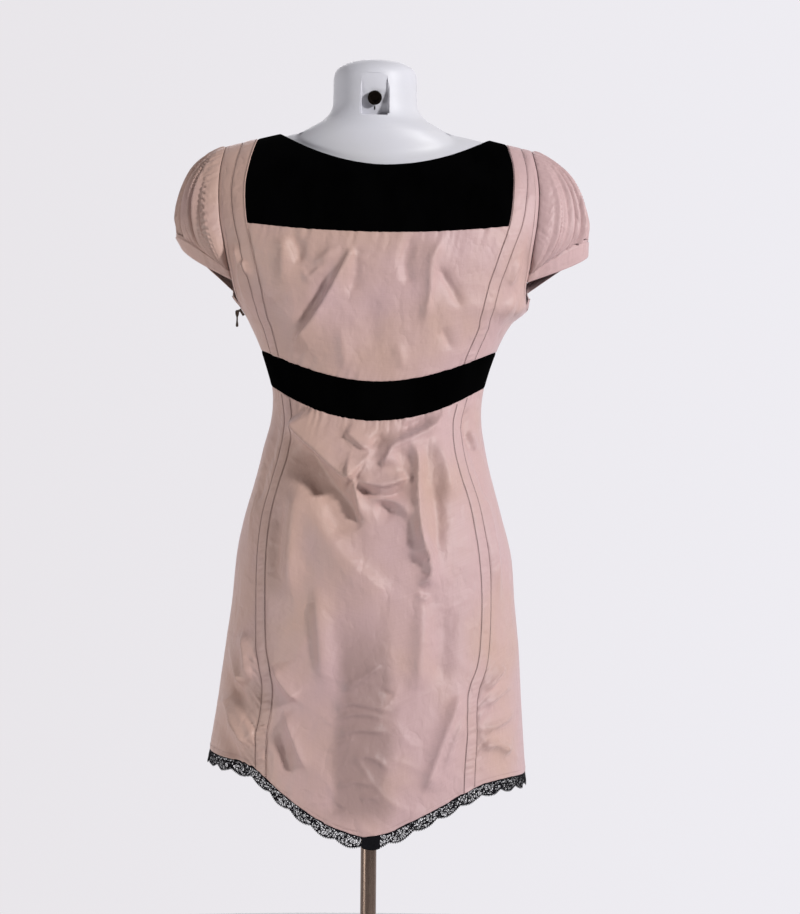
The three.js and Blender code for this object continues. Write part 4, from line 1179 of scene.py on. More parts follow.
def strip_puckers(sheet, low_level):
    """The small tucks across a strip between its two rows of stitches, strongest low down."""
    turns = sheet.heights / 8.5
    across = np.sin(math.pi * sheet.shares) ** 0.6
    lower = 1 - smooth(low_level, low_level + 90, sheet.heights)
    ripple = pleats(turns + 0.5 * sheet.side * sheet.shares, 1.3 + sheet.side)
    return ripple * across * mix(0.45, 1.7, lower) + 0.45 * across


def calm_side_seam(sheet):
    """1 over a panel, and 0.15 at the garment's side seam, so that its outline stays even."""
    if sheet.zone != "side":
        return 1
    return 1 - 0.85 * smooth(0.5, 0.95, sheet.shares)


def side_puckers(sheet):
    """Pulls that run up and out from the lower strips into the side panels."""
    turns = (sheet.heights - 0.9 * sheet.across) / 11.0
    low = smooth(545, 585, sheet.heights) * (1 - smooth(660, 720, sheet.heights))
    high = smooth(860, 920, sheet.heights) * (1 - smooth(985, 1003, sheet.heights))
    near = np.exp(-sheet.across / 17.0)
    lower = pleats(turns, 0.4 + sheet.side) * near * (2.3 * low + 0.45)
    return lower + 0.8 * pleats(turns * 1.4, 2.0) * near * high


def seam_gathers(gap, along, pitch, rise, reach, seed):
    """Tight gathers that start at a seam and die away from it."""
    return rise * pleats(along / pitch, seed) * np.exp(-np.maximum(gap, 0) / reach)


def crinkles(x, z):
    """Short crisp creases that run three ways, as crushed silk keeps them, from 0 to about 1."""
    bend = 9 * np.sin(x / 31 + z / 47) + 6 * np.sin(x / 17 - z / 29)

    def creases(place, spacing):
        return (1 - np.abs(np.sin(place / spacing))) ** 3

    level = creases(z + bend, 12.0)
    rising = creases(0.8 * x + 0.6 * z + 1.3 * bend, 15.0)
    falling = creases(0.75 * z - 0.65 * x - bend, 17.0)
    here = np.sin(x / 19 + 1.7 * np.sin(z / 27)) * np.sin(z / 23 + 1.1 * np.sin(x / 33))
    there = np.sin(x / 23 - 1.3 * np.sin(z / 21) + 2) * np.sin(z / 31 + 0.9 * np.sin(x / 27))
    here, there = smooth(0.05, 0.7, here), smooth(0.05, 0.7, there)
    return level * here + 0.8 * rising * there + 0.8 * falling * smooth(0.2, 0.9, 1 - here - there)


def crushed(sheet):
    """Crinkles over a whole panel, most of them low in the skirt's middle and sides."""
    x, z = sheet.points[..., 0], sheet.points[..., 2]
    low = 1 - smooth(600, 740, z)
    middle = np.exp(-((x / 60) ** 4))
    sides = smooth(90, 130, np.abs(x))
    whole = crinkles(x, z) * (0.6 + low * (1.8 * middle + 1.6 * sides))
    return whole * calm_side_seam(sheet)


def undulation(sheet):
    """The slow and quick unevenness of a hanging panel, with its crinkles."""
    x, z = sheet.points[..., 0], sheet.points[..., 2]
    slow = np.sin(x / 23.0 + 0.7 * np.sin(z / 41.0)) * np.sin(z / 31.0 + 1.1 * np.sin(x / 37.0))
    quick = np.sin(x / 7.3 + 1.9 * np.sin(z / 19.0)) * np.sin(z / 13.0 + 1.3 * np.sin(x / 11.0))
    return UNDULATION * slow + 0.22 * UNDULATION * quick + crushed(sheet)


def build_skirt(settings):
    """The ten panels of the skirt."""
    wall, finish = settings.taffeta_wall, taffeta(settings)
    for face in (BACK, FRONT):
        step = settings.grid_step * FACE_COARSENESS[face]
        where = FACE_NAMES[face]
        hung = "hung", [f"waistband_{where}_velvet"]
        sheet = Sheet(face, "middle", 0, *SKIRT_SEAMS, step, *PANEL_SIZES["skirt_middle"])
        gap = sheet.up[:, -1:] - sheet.up
        ripple = seam_gathers(gap, sheet.across, 6.5, 1.1, 9.0, 0.6 * face)
        ripple += seam_gathers(gap, sheet.across, 13.0, 0.8, 26.0, 1.9)
        hem_ripple = 0.5 * wave(sheet.across / 31.0, 0.8) * np.exp(-sheet.up / 30.0)
        sheet.raise_by(ripple + hem_ripple + undulation(sheet))
        sheet.finish_edges()
        add_sheet(f"skirt_{where}_cloth", sheet, wall, taffeta(settings, face == BACK), *hung)
        for side, hand in HAND_NAMES.items():
            strip = Sheet(face, "strip", side, *SKIRT_SEAMS, STRIP_STEP, *PANEL_SIZES["skirt_strip"])
            strip.raise_by(strip_puckers(strip, 590))
            strip.finish_edges(**STRIP_EDGE)
            add_sheet(f"skirt_{where}_strip_{hand}_cloth", strip, wall, finish, *hung)
            panel = Sheet(face, "side", side, *SKIRT_SEAMS, step, *PANEL_SIZES["skirt_side"])
            gap = panel.up[:, -1:] - panel.up
            gathered = seam_gathers(gap, panel.across, 8.0, 0.5, 12.0, 1.0 + side)
            panel.raise_by(side_puckers(panel) + gathered + undulation(panel))
            panel.finish_edges()
            add_sheet(f"skirt_{where}_side_{hand}_cloth", panel, wall, finish, *hung)


def build_bodice(settings):
    """The ten panels of the bodice below and beside the yoke."""
    wall, finish = settings.taffeta_wall, taffeta(settings)
    on_form = "stretched", ["form_shell"]
    for face in (BACK, FRONT):
        step = settings.grid_step * FACE_COARSENESS[face]
        where = FACE_NAMES[face]
        sheet = Sheet(face, "middle", 0, "band_top", "yoke", step, *PANEL_SIZES["bodice_middle"])
        gap = sheet.up[:, -1:] - sheet.up
        ripple = seam_gathers(gap, sheet.across, 7.0, 0.9, 8.0, 0.3)
        ripple += seam_gathers(gap, sheet.across, 15.0, 0.9, 22.0, 2.2)
        ripple += seam_gathers(sheet.up, sheet.across, 7.5, 0.7, 9.0, 1.4)
        ripple += seam_gathers(sheet.up, sheet.across, 17.0, 0.7, 20.0, 0.2)
        sheet.raise_by(ripple + undulation(sheet))
        sheet.finish_edges()
        add_sheet(f"bodice_{where}_cloth", sheet, wall, finish, *on_form)
        for side, hand in HAND_NAMES.items():
            strip = Sheet(face, "strip", side, *BODICE_SEAMS, STRIP_STEP, *PANEL_SIZES["bodice_strip"])
            strip.raise_by(strip_puckers(strip, 1040) * 0.6)
            strip.finish_edges(**STRIP_EDGE)
            add_sheet(f"bodice_{where}_strip_{hand}_cloth", strip, wall, finish, *on_form)
            panel = Sheet(face, "side", side, *BODICE_SEAMS, step, *PANEL_SIZES["bodice_side"])
            panel.raise_by(undulation(panel))
            panel.finish_edges()
            add_sheet(f"bodice_{where}_side_{hand}_cloth", panel, wall, finish, *on_form)


def build_velvet(settings):
    """The yoke and the high waistband."""
    wall, finish = settings.velvet_wall, material("velvet", lambda: velvet_finish(settings))
    for face, where in FACE_NAMES.items():
        yoke = Sheet(face, "middle", 0, "yoke", "top", settings.grid_step, *PANEL_SIZES["yoke_middle"])
        yoke.finish_edges(0.8, 1.6)
        add_sheet(f"yoke_{where}_velvet", yoke, wall, finish, "draped", ["form_shell"])
        points, normals, plain = band_grid(face, settings.grid_step)
        rows = arc_lengths(points, 1)
        slack = 0.5 * np.sin(arc_lengths(points, 0) / 26.0) * np.sin(math.pi * rows / rows[:, -1:])
        points = turned_edges(points + normals * (slack + 0.5)[..., None], normals, 0.9, 1.8)
        cloth_piece(f"waistband_{where}_velvet", points, normals, {"cloth": cloth_uv(plain)}, plain,
                    wall, finish, "stretched", ["form_shell"])


def band_grid(face, step):
    """The waistband of one face from side seam to side seam."""
    spans = {"side": 50, "strip": STRIP_WIDTH, "middle": 200}
    shares = np.linspace(0, 1, int(44 / step) + 2)
    columns, plain = [], []
    for zone, side, start, end in FACE_PARTS:
        count = int(spans[zone] / step) + 2
        for share in np.linspace(start, end, count)[1 if columns else 0 :]:
            at = np.array([share], float)
            low, high = (seam_height(face, zone, side, at, seam)[0] for seam in ("band_bottom", "band_top"))
            a, b = (column_angle(face, zone, side, at, height)[0] for height in (low, high))
            place = mix(a, b, shares), mix(low, high, shares)
            columns.append(garment(face, *place))
            plain.append(garment(face, *place, False))
    points = np.array(columns)
    return points, grid_normals(points, np.array([0, face, 0.0])), np.array(plain)


def armhole_edge(side, share):
    """Points of the armhole's edge: from the back, over the shoulder, to the front."""
    parts = []
    for face in (BACK, FRONT):
        at = np.array([1.0])
        low = seam_height(face, "side", side, at, "band_top")[0]
        high = seam_height(face, "side", side, at, "yoke")[0]
        heights = np.concatenate([
            np.linspace(mix(low, high, share), high, 16),
            high + (SHOULDER_TOP - high) * (1 - (1 - np.linspace(0, 1, 30)[1:]) ** 2),
        ])
        angles = column_angle(face, "side", side, np.ones_like(heights), heights)
        parts.append(garment(face, angles, heights))
    return np.vstack([parts[0], parts[1][-2::-1]])


def at_shares(points, shares):
    """Points at shares of the length of a line of points, counted by the line's own steps."""
    place = shares * (len(points) - 1)
    i = np.clip(place.astype(int), 0, len(points) - 2)
    t = (place - i)[..., None]
    return points[i] * (1 - t) + points[i + 1] * t


def tip_point(side, tip):
    return np.array([side * tip.out + SLEEVE_LEAN, 0, tip.height], float)


def half_turn(back, front, tip, t):
    """A half turn from the back end to the front end, through a tip that stands out to the side."""
    middle = (back + front) / 2
    t = t[..., None]
    return middle + (tip - middle) * np.sin(math.pi * t) + (back - front) / 2 * np.cos(math.pi * t)


def with_end_columns(grid):
    return np.concatenate([grid[:1], grid, grid[-1:]])


def with_turnings(points, normals, side):
    """Add a hidden turning at each end of a sleeve or cuff, which reaches in behind the bodice."""
    first = points[0] + np.array([-side * 3, -2, 0.0])
    last = points[-1] + np.array([-side * 3, 2, 0.0])
    return np.concatenate([first[None], points, last[None]]), with_end_columns(normals)


def build_sleeves(settings):
    """The puffed cap sleeves and their cuffs."""
    for side, hand in HAND_NAMES.items():
        lift = np.array([side * SLEEVE_LIFT, 0, 0.0])
        edge = armhole_edge(side, BODICE_SLEEVE_SHARE)
        t, r = np.meshgrid(np.linspace(0, 1, SLEEVE_COLUMNS), edged_shares(70, 1.6), indexing="ij")
        root = at_shares(edge, t) + lift
        end = half_turn(edge[0], edge[-1], tip_point(side, SLEEVE_TIP[side]), t) + lift
        line = root * (1 - r[..., None]) + end * r[..., None]
        out = unit(line - tip_point(side, SLEEVE_HEART))
        swell = np.sin(math.pi * np.clip(t, 0, 1)) ** 0.6
        full = mix(1, 2 * r, SLEEVE_PUFF_LOW) * np.maximum(0, 4 * r * (1 - r))
        # Each gather starts at the cuff and climbs to the top of the shoulder
        start = (t - 0.5) / np.maximum(r, 0.08) ** GATHER_FAN
        turns = GATHERS * start
        there = 1 - smooth(0.5, 1.3, np.abs(start))
        tight = GATHER_DEPTH * pleats(turns, 0.5 + side) * smooth(0.3, 0.85, r)
        calm = 1 - 0.6 * smooth(0.8, 1, r)
        long = SLEEVE_FOLD_DEPTH * pleats(turns * 0.3, 1.5 - side) * smooth(0.04, 0.45, r) * calm
        cap = 1.4 * pleats(GATHERS * t, 2.5) * (1 - smooth(0.05, 0.4, r)) * smooth(0.0, 0.05, r)
        dent = -8 * np.exp(-(((start + 0.12) / 0.025) ** 2)) * smooth(0.15, 0.5, r)
        dent *= 1 - smooth(0.8, 1, r)
        dent += 4 * np.exp(-(((start + 0.2) / 0.03) ** 2)) * smooth(0.1, 0.6, r)
        raised = swell * (SLEEVE_PUFF * full + (tight + long) * there + cap + dent)
        plain = line + out * (swell * SLEEVE_PUFF * full)[..., None]
        points = line + out * raised[..., None]
        normals = grid_normals(points, np.array([side, 0, 0.4]))
        points = turned_edges(points, normals, 0.35, 1.2, (True, True, True, False))
        cloth_piece(f"sleeve_{hand}_cloth", *with_turnings(points, normals, side),
                    {"cloth": with_end_columns(cloth_uv(plain))}, points, settings.taffeta_wall,
                    taffeta(settings), "gathered", [f"cuff_{hand}_cloth"])
        build_cuff(settings, side, hand, lift)


def build_cuff(settings, side, hand, lift):
    low = armhole_edge(side, BODICE_CUFF_SHARE)
    high = armhole_edge(side, BODICE_SLEEVE_SHARE)
    shares = np.concatenate([[-0.16, -0.05], edged_shares(16, 1.6)])
    t, r = np.meshgrid(np.linspace(0, 1, CUFF_COLUMNS), shares, indexing="ij")
    top = half_turn(high[0], high[-1], tip_point(side, CUFF_TOP[side]), t) + lift
    foot = half_turn(low[0], low[-1], tip_point(side, CUFF_FOOT[side]), t) + lift
    foot[..., 2] -= CUFF_TILT * np.sin(TAU * t)
    plain = top * (1 - r[..., None]) + foot * r[..., None]
    normals = grid_normals(plain, np.array([side, 0, 0.3]))
    inside = np.clip(r, 0, 1)
    slack = 0.5 * wave(t * 7, 0.9 + side) * np.sin(math.pi * inside)
    slack += 0.5 * pleats(t * GATHERS, 0.2) * (1 - inside)
    sunk = np.where(r < 0, -1.6, 0.4)
    points = plain + normals * (slack + sunk)[..., None]
    points = turned_edges(points, normals, 0.9, 1.3, (True, True, False, True))
    cloth_piece(f"cuff_{hand}_cloth", *with_turnings(points, normals, side),
                {"cloth": with_end_columns(cloth_uv(plain))}, points, settings.taffeta_wall,
                taffeta(settings), "stretched", [f"bodice_back_side_{hand}_cloth"])


def hem_line(face):
    """The hem from side seam to side seam, with the way down and the way out at each point."""
    spans = {"side": 110, "strip": STRIP_WIDTH, "middle": 260}
    feet, heads = [], []
    for zone, side, start, end in FACE_PARTS:
        shares = np.linspace(start, end, int(spans[zone] / 1.1))[1 if feet else 0 :]
        low = seam_height(face, zone, side, shares, "hem")
        for store, height in ((feet, low), (heads, low + 12)):
            store.append(garment(face, column_angle(face, zone, side, shares, height), height))
    foot = np.vstack(feet)
    down = unit(foot - np.vstack(heads))
    return foot, down, turned_out(unit(np.cross(np.gradient(foot, axis=0), down)), face)


def build_lace(settings):
    """The lace edging below the hem, with its scallops and picots."""
    finish = material("lace", lambda: lace_finish(settings))
    for face, where in FACE_NAMES.items():
        foot, down, out = hem_line(face)
        along = arc_lengths(foot, 0)
        turns = along / along[-1] * SCALLOPS_EACH_SIDE
        scallop = np.abs(np.sin(math.pi * turns))
        reach = LACE_DEPTH - SCALLOP_DEPTH * (1 - scallop) + PICOT
        r = np.linspace(0, 1, 14)
        deep = reach[:, None] * r[None, :]
        flutter = 0.9 * wave(along / 21.0, 0.7 + face)[:, None] * r[None, :] ** 1.5
        sunk = -0.5 * (1 - r[None, :]) + flutter
        points = foot[:, None] + down[:, None] * (deep - 0.8)[..., None] + out[:, None] * sunk[..., None]
        normals = np.broadcast_to(out[:, None], points.shape)
        across = np.broadcast_to(along[:, None], deep.shape)
        # Painted shade: the lace is filled solid and black at the side seams, where it is seen edge on and
        # doubled, and at the point of the hem, where the dark pole stands behind it
        dark_fill = 12 * np.maximum(0, 1 - np.minimum(along, along[-1] - along) / 40)
        if face == BACK:
            dark_fill = np.where(np.abs(foot[:, 0] + 4) < 10, 40, dark_fill)
        uvs = {
            "cloth": np.stack([across, deep], -1) * MM,
            "border": np.stack(np.broadcast_arrays(reach[:, None] - deep, dark_fill[:, None]), -1) * MM,
        }
        cloth_piece(f"lace_{where}_edging", points, normals, uvs, points, settings.lace_wall, finish,
                    "hung", [f"skirt_{where}_cloth"])


def stitch_row(line, away, length, radius=0.24):
    """Short threads laid end to end along a line of points, with the direction out of the cloth."""
    arc = arc_lengths(line, 0)
    count = int(arc[-1] / length)
    centres = (np.arange(count) + 0.5) * length

    def along(values, places):
        return np.stack([np.interp(places, arc, values[:, k]) for k in range(3)], -1)

    at = along(line, centres)
    ahead = unit(along(line, centres + 0.5) - at)
    up = unit(along(away, centres))
    beside = np.cross(ahead, up)
    rings = [(-0.45, 0.35, -0.25), (-0.24, 1, 0.1), (0.24, 1, 0.1), (0.45, 0.35, -0.25)]
    corners = 5
    vertices = np.empty((count, len(rings), corners, 3))
    for k, (place, thick, lift) in enumerate(rings):
        centre = at + ahead * place * length + up * lift
        for j, turn in enumerate(np.arange(corners) * TAU / corners):
            spoke = beside * math.cos(turn) + up * math.sin(turn)
            vertices[:, k, j] = centre + spoke * radius * thick
    faces = tube_faces(len(rings), corners)
    every = [tuple(v + s * len(rings) * corners for v in face) for s in range(count) for face in faces]
    return vertices.reshape(-1, 3), every


def join_rows(name, rows):
    vertices, faces, start = [], [], 0
    for points, quads in rows:
        vertices.append(points)
        faces += [tuple(v + start for v in face) for face in quads]
        start += len(points)
    return mesh_object(name, np.vstack(vertices) * MM, faces)


def seam_stitches(face, zone, side, share, low, high, length, inset, raised):
    """A row of stitches that follows a column of a panel, inset from it in millimetres."""
    at = np.array([float(share)])
    foot, head = (seam_height(face, zone, side, at, seam)[0] for seam in (low, high))
    heights = np.linspace(foot + 1, head - 1, 260)
    angle = column_angle(face, zone, side, np.full(heights.shape, float(share)), heights)
    line = garment(face, angle, heights)
    beside = unit(garment(face, angle + 0.004 * side, heights) - line)
    away = turned_out(unit(np.cross(beside, np.gradient(line, axis=0))), face)
    return stitch_row(line + beside * inset + away * raised, away, length)


def across_stitches(face, seam, offset, length, zone="middle", side=0, low=-1.0, high=1.0):
    """A row of stitches that follows a seam across, offset above it in millimetres."""
    shares = np.linspace(low, high, 300)
    height = seam_height(face, zone, side, shares, seam) + offset
    angle = column_angle(face, zone, side, shares, height)
    line = garment(face, angle, height)
    over = garment(face, angle, height + 1) - line
    away = turned_out(unit(np.cross(np.gradient(line, axis=0), over)), face)
    return stitch_row(line + away * 0.2, away, length, 0.16)


def build_stitching(settings):
    """The dark topstitching along both edges of every strip, and the fine rows at the hems."""
    length = settings.stitch_length
    thread, pink = settings.thread_colour[:], settings.taffeta_colour[:]
    dark = material("sewing_thread", lambda: thread_finish(
        "sewing_thread", scaled_colour(thread, 0.6), thread, 0.4, 0.5))
    for face, where in FACE_NAMES.items():
        rows = []
        for side in (LEFT, RIGHT):
            for low, high in (SKIRT_SEAMS, BODICE_SEAMS):
                for share, inset in ((0, STITCH_INSET), (1, -STITCH_INSET)):
                    rows.append(seam_stitches(face, "strip", side, share, low, high, length, inset, 0.45))
        dress_piece(join_rows(f"topstitching_{where}", rows), dark, [])
    pale = material("matching_thread", lambda: thread_finish(
        "matching_thread", scaled_colour(pink, 0.62), scaled_colour(pink, 0.85), 0.5, 0.4))
    for face, where in FACE_NAMES.items():
        rows = []
        for side in (LEFT, RIGHT):
            rows.append(seam_stitches(face, "side", side, 1, "band_top", "top", length, -EDGE_INSET, 0.1))
            rows.append(across_stitches(face, "hem", EDGE_INSET, length, "side", side, 0.02, 0.98))
        rows.append(across_stitches(face, "hem", EDGE_INSET, length))
        dress_piece(join_rows(f"edge_stitching_{where}", rows), pale, [])


def form_height(out, z):
    height = np.asarray(z, float)
    for _ in range(14):
        height = z + tilt_share(height, FORM_TOP) * shoulder_drop(out)
    return height


def body_depth(face, out, z):
    height = form_height(out, z)
    half = read(FORM_RINGS, "half", height)
    depth = read(FORM_RINGS, FACE_NAMES[face], height)
    across = np.maximum(0, 1 - (np.abs(out) / half) ** FORM_SQUARE)
    inside = (height < FORM_TOP) & (np.abs(out) < half)
    return np.where(inside, depth * shoulder_round(height, FORM_TOP) * across ** (1 / FORM_SQUARE), 0)


def neck_depth(face, out, z):
    half = read(NECK_RINGS, "half", z)
    depth = read(NECK_RINGS, FACE_NAMES[face], z)
    inside = (z >= NECK_RINGS[0].height) & (np.abs(out) < half)
    return np.where(inside, depth * np.sqrt(np.maximum(0, 1 - (out / half) ** 2)), 0)


def form_reach(z):
    """The form's half width at each height."""
    inside = np.zeros_like(z)
    outside = np.full_like(z, 250.0)
    for _ in range(34):
        middle = (inside + outside) / 2
        solid = body_depth(BACK, middle, z) > 0
        inside = np.where(solid, middle, inside)
        outside = np.where(solid, outside, middle)
    neck = np.where(z < NECK_RINGS[0].height, 0, read(NECK_RINGS, "half", z))
    return np.maximum(inside, neck)


def build_form(settings):
    """The limbless form: a smooth shell with a sloping bracket recess at the back of its neck."""
    slices = np.concatenate([
        FORM_FOOT + FORM_FOOT_ROUND * np.linspace(0, 1, 5)[:-1],
        np.arange(FORM_FOOT + FORM_FOOT_ROUND, FORM_FINE_START, 9.0),
        np.arange(FORM_FINE_START, FORM_CROWN - CROWN_ROUND, 1.6),
        FORM_CROWN - CROWN_ROUND * (1 - np.linspace(0, 1, 12)) ** 1.6,
    ])
    around = FORM_AROUND
    turn = np.arange(around)
    x_share = np.cos(TAU * turn / around)
    face_side = np.where(turn <= around // 2, BACK, FRONT)
    reach = form_reach(slices)
    foot = 1 - 0.06 * (1 - smooth(FORM_FOOT, FORM_FOOT + FORM_FOOT_ROUND, slices)) ** 1.5
    points = np.empty((len(slices), around, 3))
    for k, z in enumerate(slices):
        x = reach[k] * x_share
        depth = np.empty(around)
        for face in (BACK, FRONT):
            chosen = face_side == face
            body = body_depth(face, x[chosen], np.full(chosen.sum(), z))
            neck = neck_depth(face, x[chosen], np.full(chosen.sum(), z))
            depth[chosen] = (body**NECK_BLEND + neck**NECK_BLEND) ** (1 / NECK_BLEND)
        depth[[0, around // 2]] = 0
        points[k] = np.stack([x * foot[k], face_side * depth * foot[k], np.full(around, z)], -1)
    shell = mesh_object("form_shell", points.reshape(-1, 3) * MM, tube_faces(len(slices), around))
    cut_recess(shell)
    dress_piece(shell, material("form_shell", lambda: form_finish(settings)), ["form_torso"])
    build_socket(settings)


def cut_recess(shell):
    """Cut the wedge-shaped recess, whose floor slopes in towards its foot."""
    half, low, high, deep, shallow = RECESS
    outside = 80
    profile = [(deep, low), (outside, low), (outside, high), (shallow, high)]
    vertices = [(x * half * MM, y * MM, z * MM) for x in (-1, 1) for y, z in profile]
    faces = [(0, 1, 2, 3), (7, 6, 5, 4), (0, 4, 5, 1), (1, 5, 6, 2), (2, 6, 7, 3), (3, 7, 4, 0)]
    wedge = mesh_object("recess_wedge", vertices, faces, smooth_faces=False)
    shaped = bmesh.new()
    shaped.from_mesh(wedge.data)
    bmesh.ops.recalc_face_normals(shaped, faces=shaped.faces)
    bmesh.ops.bevel(shaped, geom=shaped.edges[:], offset=0.0022, segments=3, affect="EDGES")
    shaped.to_mesh(wedge.data)
    shaped.free()
    cut = shell.modifiers.new("recess", "BOOLEAN")
    cut.operation = "DIFFERENCE"
    cut.solver = "EXACT"
    cut.object = wedge
    depsgraph = bpy.context.evaluated_depsgraph_get()
    carved = bpy.data.meshes.new_from_object(shell.evaluated_get(depsgraph))
    shell.modifiers.clear()
    shell.data = carved
    bpy.data.objects.remove(wedge)
    carved.set_sharp_from_angle(angle=math.radians(38))


def turned_piece(name, profile, segments=72):
    """A piece turned on a lathe from radius, height pairs in millimetres."""
    turn = np.arange(segments) * TAU / segments
    rings = [np.stack([r * np.cos(turn), r * np.sin(turn), np.full(segments, z)], -1) for r, z in profile]
    obj = mesh_object(name, np.vstack(rings) * MM, tube_faces(len(rings), segments))
    obj.data.set_sharp_from_angle(angle=math.radians(40))
    return obj


def build_socket(settings):
    """The blind bush in the recess, and the small slot below it."""
    run = RECESS.depth_high - RECESS.depth_low
    rise = RECESS.high - RECESS.low
    lean = math.atan2(run, rise)
    t = (SOCKET_HEIGHT - RECESS.low) / rise
    seat = Vector((0, RECESS.depth_low + t * run, SOCKET_HEIGHT))
    bush = turned_piece("form_socket_bush", [
        (0.3, 0.3), (8.0, 0.3), (8.4, 0.7), (8.4, 5.6), (8.0, 6.0), (5.3, 6.0), (4.8, 5.5),
        (4.8, 2.0), (0.3, 2.0),
    ])
    turn = Euler((-QUARTER - lean, 0, 0)).to_matrix().to_4x4()
    bush.data.transform(Matrix.Translation(seat * MM) @ turn)
    steel = material("bush_steel", lambda: steel_finish(settings, "bush_steel", BUSH_SHADE))
    dress_piece(bush, steel, ["form_socket"])
    down = Vector((0, -math.sin(lean), -math.cos(lean)))
    slot = turned_piece("form_slot_mark", [(0.4, 0.0), (1.3, 0.0), (1.3, 0.35), (0.4, 0.35)], 20)
    slot.data.transform(Matrix.Diagonal((0.6, 2.0, 1, 1)))
    slot.data.transform(Matrix.Translation((seat + down * SLOT_DROP) * MM) @ turn)
    dress_piece(slot, steel, [])


def build_stand(settings):
    """The pole, its collar and the round foot."""
    steel = material("stand_steel", lambda: steel_finish(settings))
    foot = turned_piece("stand_foot_steel", [
        (0.3, 0), (FOOT_RADIUS - 3, 0), (FOOT_RADIUS - 0.8, 0.9), (FOOT_RADIUS, 3), (FOOT_RADIUS, 6),
        (FOOT_RADIUS - 0.8, 7.3), (FOOT_RADIUS - 2.6, FOOT_THICK), (0.3, FOOT_THICK),
    ], 144)
    dress_piece(foot, steel, ["stand_foot"])
    collar = turned_piece("stand_collar_steel", [
        (POLE_RADIUS + 0.2, STAND_BASE), (COLLAR_RADIUS, STAND_BASE), (COLLAR_RADIUS, 31),
        (COLLAR_RADIUS - 0.6, 33.2), (COLLAR_RADIUS - 2, COLLAR_TOP), (POLE_RADIUS + 0.6, COLLAR_TOP),
        (POLE_RADIUS + 0.2, COLLAR_TOP - 0.4),
    ])
    dress_piece(collar, steel, ["stand_collar"])
    pole = turned_piece("stand_pole_steel", [
        (0.3, STAND_BASE), (POLE_RADIUS, STAND_BASE), (POLE_RADIUS, 694), (POLE_RADIUS + 1, 694.7),
        (PLATE_RADIUS - 1, 694.7), (PLATE_RADIUS, 695.4), (PLATE_RADIUS, POLE_TOP), (0.3, POLE_TOP),
    ])
    dress_piece(pole, steel, ["stand_pole"])


def build_zip(settings):
    """The zip's tape, coil, slider and pull tab at the wearer's left side seam."""
    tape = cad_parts["side_zip"]
    tape.data.materials.clear()
    tape.data.materials.append(material("zip_tape", lambda: tape_finish(settings)))
    stand = bpy.context.scene.dress_form_stand
    metal = material("zip_metal", lambda: steel_finish(stand, "zip_metal", ZIP_SHADE))
    heights = np.arange(ZIP_FOOT, ZIP_HEAD, COIL_PITCH)
    seam = garment(BACK, np.full(heights.shape, QUARTER), heights, False)
    rows = []
    for k, point in enumerate(seam):
        hand = 1 if k % 2 else -1
        ends = point + np.array([[-1.6, hand * 2.2, 0], [-1.6, -hand * 0.8, 0.5]])
        away = np.tile(np.array([1.0, 0, 0]), (2, 1))
        rows.append(stitch_row(ends, away, 2.9, 0.55))
    coil = join_rows("zip_coil", rows)
    dress_piece(coil, material("zip_tape", lambda: tape_finish(settings)), [])
    for name in ("zip_slider", "zip_pull"):
        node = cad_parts[name]
        node.data.materials.clear()
        node.data.materials.append(metal)
        edge = node.modifiers.new("soft_edges", "BEVEL")
        edge.width = 0.0003
        edge.segments = 2
        edge.limit_method = "ANGLE"


def build_stage(settings):
    """Floor, studio light and the camera."""
    floor = mesh_object("studio_floor", *floor_mesh(), smooth_faces=False)
    floor.data.materials.append(material("studio_floor", floor_finish))
    scene = bpy.context.scene
    scene.view_settings.view_transform = "Standard"
    build_world(scene)
    add_light("key_light", (-2.6, 2.2, 2.4), (0, 0, 0.8), 152, 0.4)
    add_light("fill_light", (2.8, 1.6, 0.6), (0, 0, 0.62), 43, 0.9)
    add_light("front_light", (0.4, -3.0, 2.6), (0, 0, 0.9), 18, 1.6)
    lens = bpy.data.cameras.new("camera")
    lens.lens = settings.lens
    lens.sensor_width = 36
    lens.clip_end = 50
    camera = bpy.data.objects.new("camera", lens)
    scene.collection.objects.link(camera)
    camera.location = (settings.camera_side, settings.camera_distance, settings.camera_height)
    facing = Euler((QUARTER, 0, math.pi)).to_quaternion()
    camera.rotation_mode = "QUATERNION"
    camera.rotation_quaternion = facing @ Quaternion((0, 0, 1), settings.camera_roll)
    scene.camera = camera


def build_world(scene):
    """A pale backdrop all round that dims towards the camera's side."""
    world = bpy.data.worlds.new("studio")
    world.use_nodes = True
    nodes = Nodes(world.node_tree)
    x, y, _ = nodes.split(nodes.node("ShaderNodeTexCoord").outputs["Generated"])
    backdrop = nodes.blend(x.climb(-0.35, 0.35), (0.87, 0.86, 0.91, 1), (0.8, 0.775, 0.8, 1))
    colour = nodes.blend(y.climb(-0.6, 0.4), backdrop, (0.11, 0.108, 0.11, 1))
    nodes.set(world.node_tree.nodes["Background"], {"Color": colour, "Strength": 1.0})
    scene.world = world


def floor_mesh():
    """A round floor with a slightly raised rim."""
    around = 96
    rings = [(0.05, 0.0), (1.0, 0.0), (2.1, 0.0), (2.2, 0.002)]
    vertices = [(r * math.cos(TAU * j / around), r * math.sin(TAU * j / around), z - 0.0006)
                for r, z in rings for j in range(around)]
    faces = [tuple(range(around))]
    for k in range(len(rings) - 1):
        for j in range(around):
            a, b = k * around + j, k * around + (j + 1) % around
            faces.append((a, a + around, b + around, b))
    return vertices, faces


def add_light(name, place, target, power, size):
    light = bpy.data.lights.new(name, "AREA")
    light.energy = power
    light.size = size
    obj = bpy.data.objects.new(name, light)
    obj.location = place
    obj.rotation_euler = (Vector(target) - Vector(place)).to_track_quat("-Z", "Y").to_euler()
    bpy.context.scene.collection.objects.link(obj)


class DRESS_OT_form(bpy.types.Operator):
    """Make the dress form with its neck recess and socket"""

    bl_idname = "dress.form"
    bl_label = "Form"

    def execute(self, context):
        build_form(context.scene.dress_form_stand)
        return {"FINISHED"}


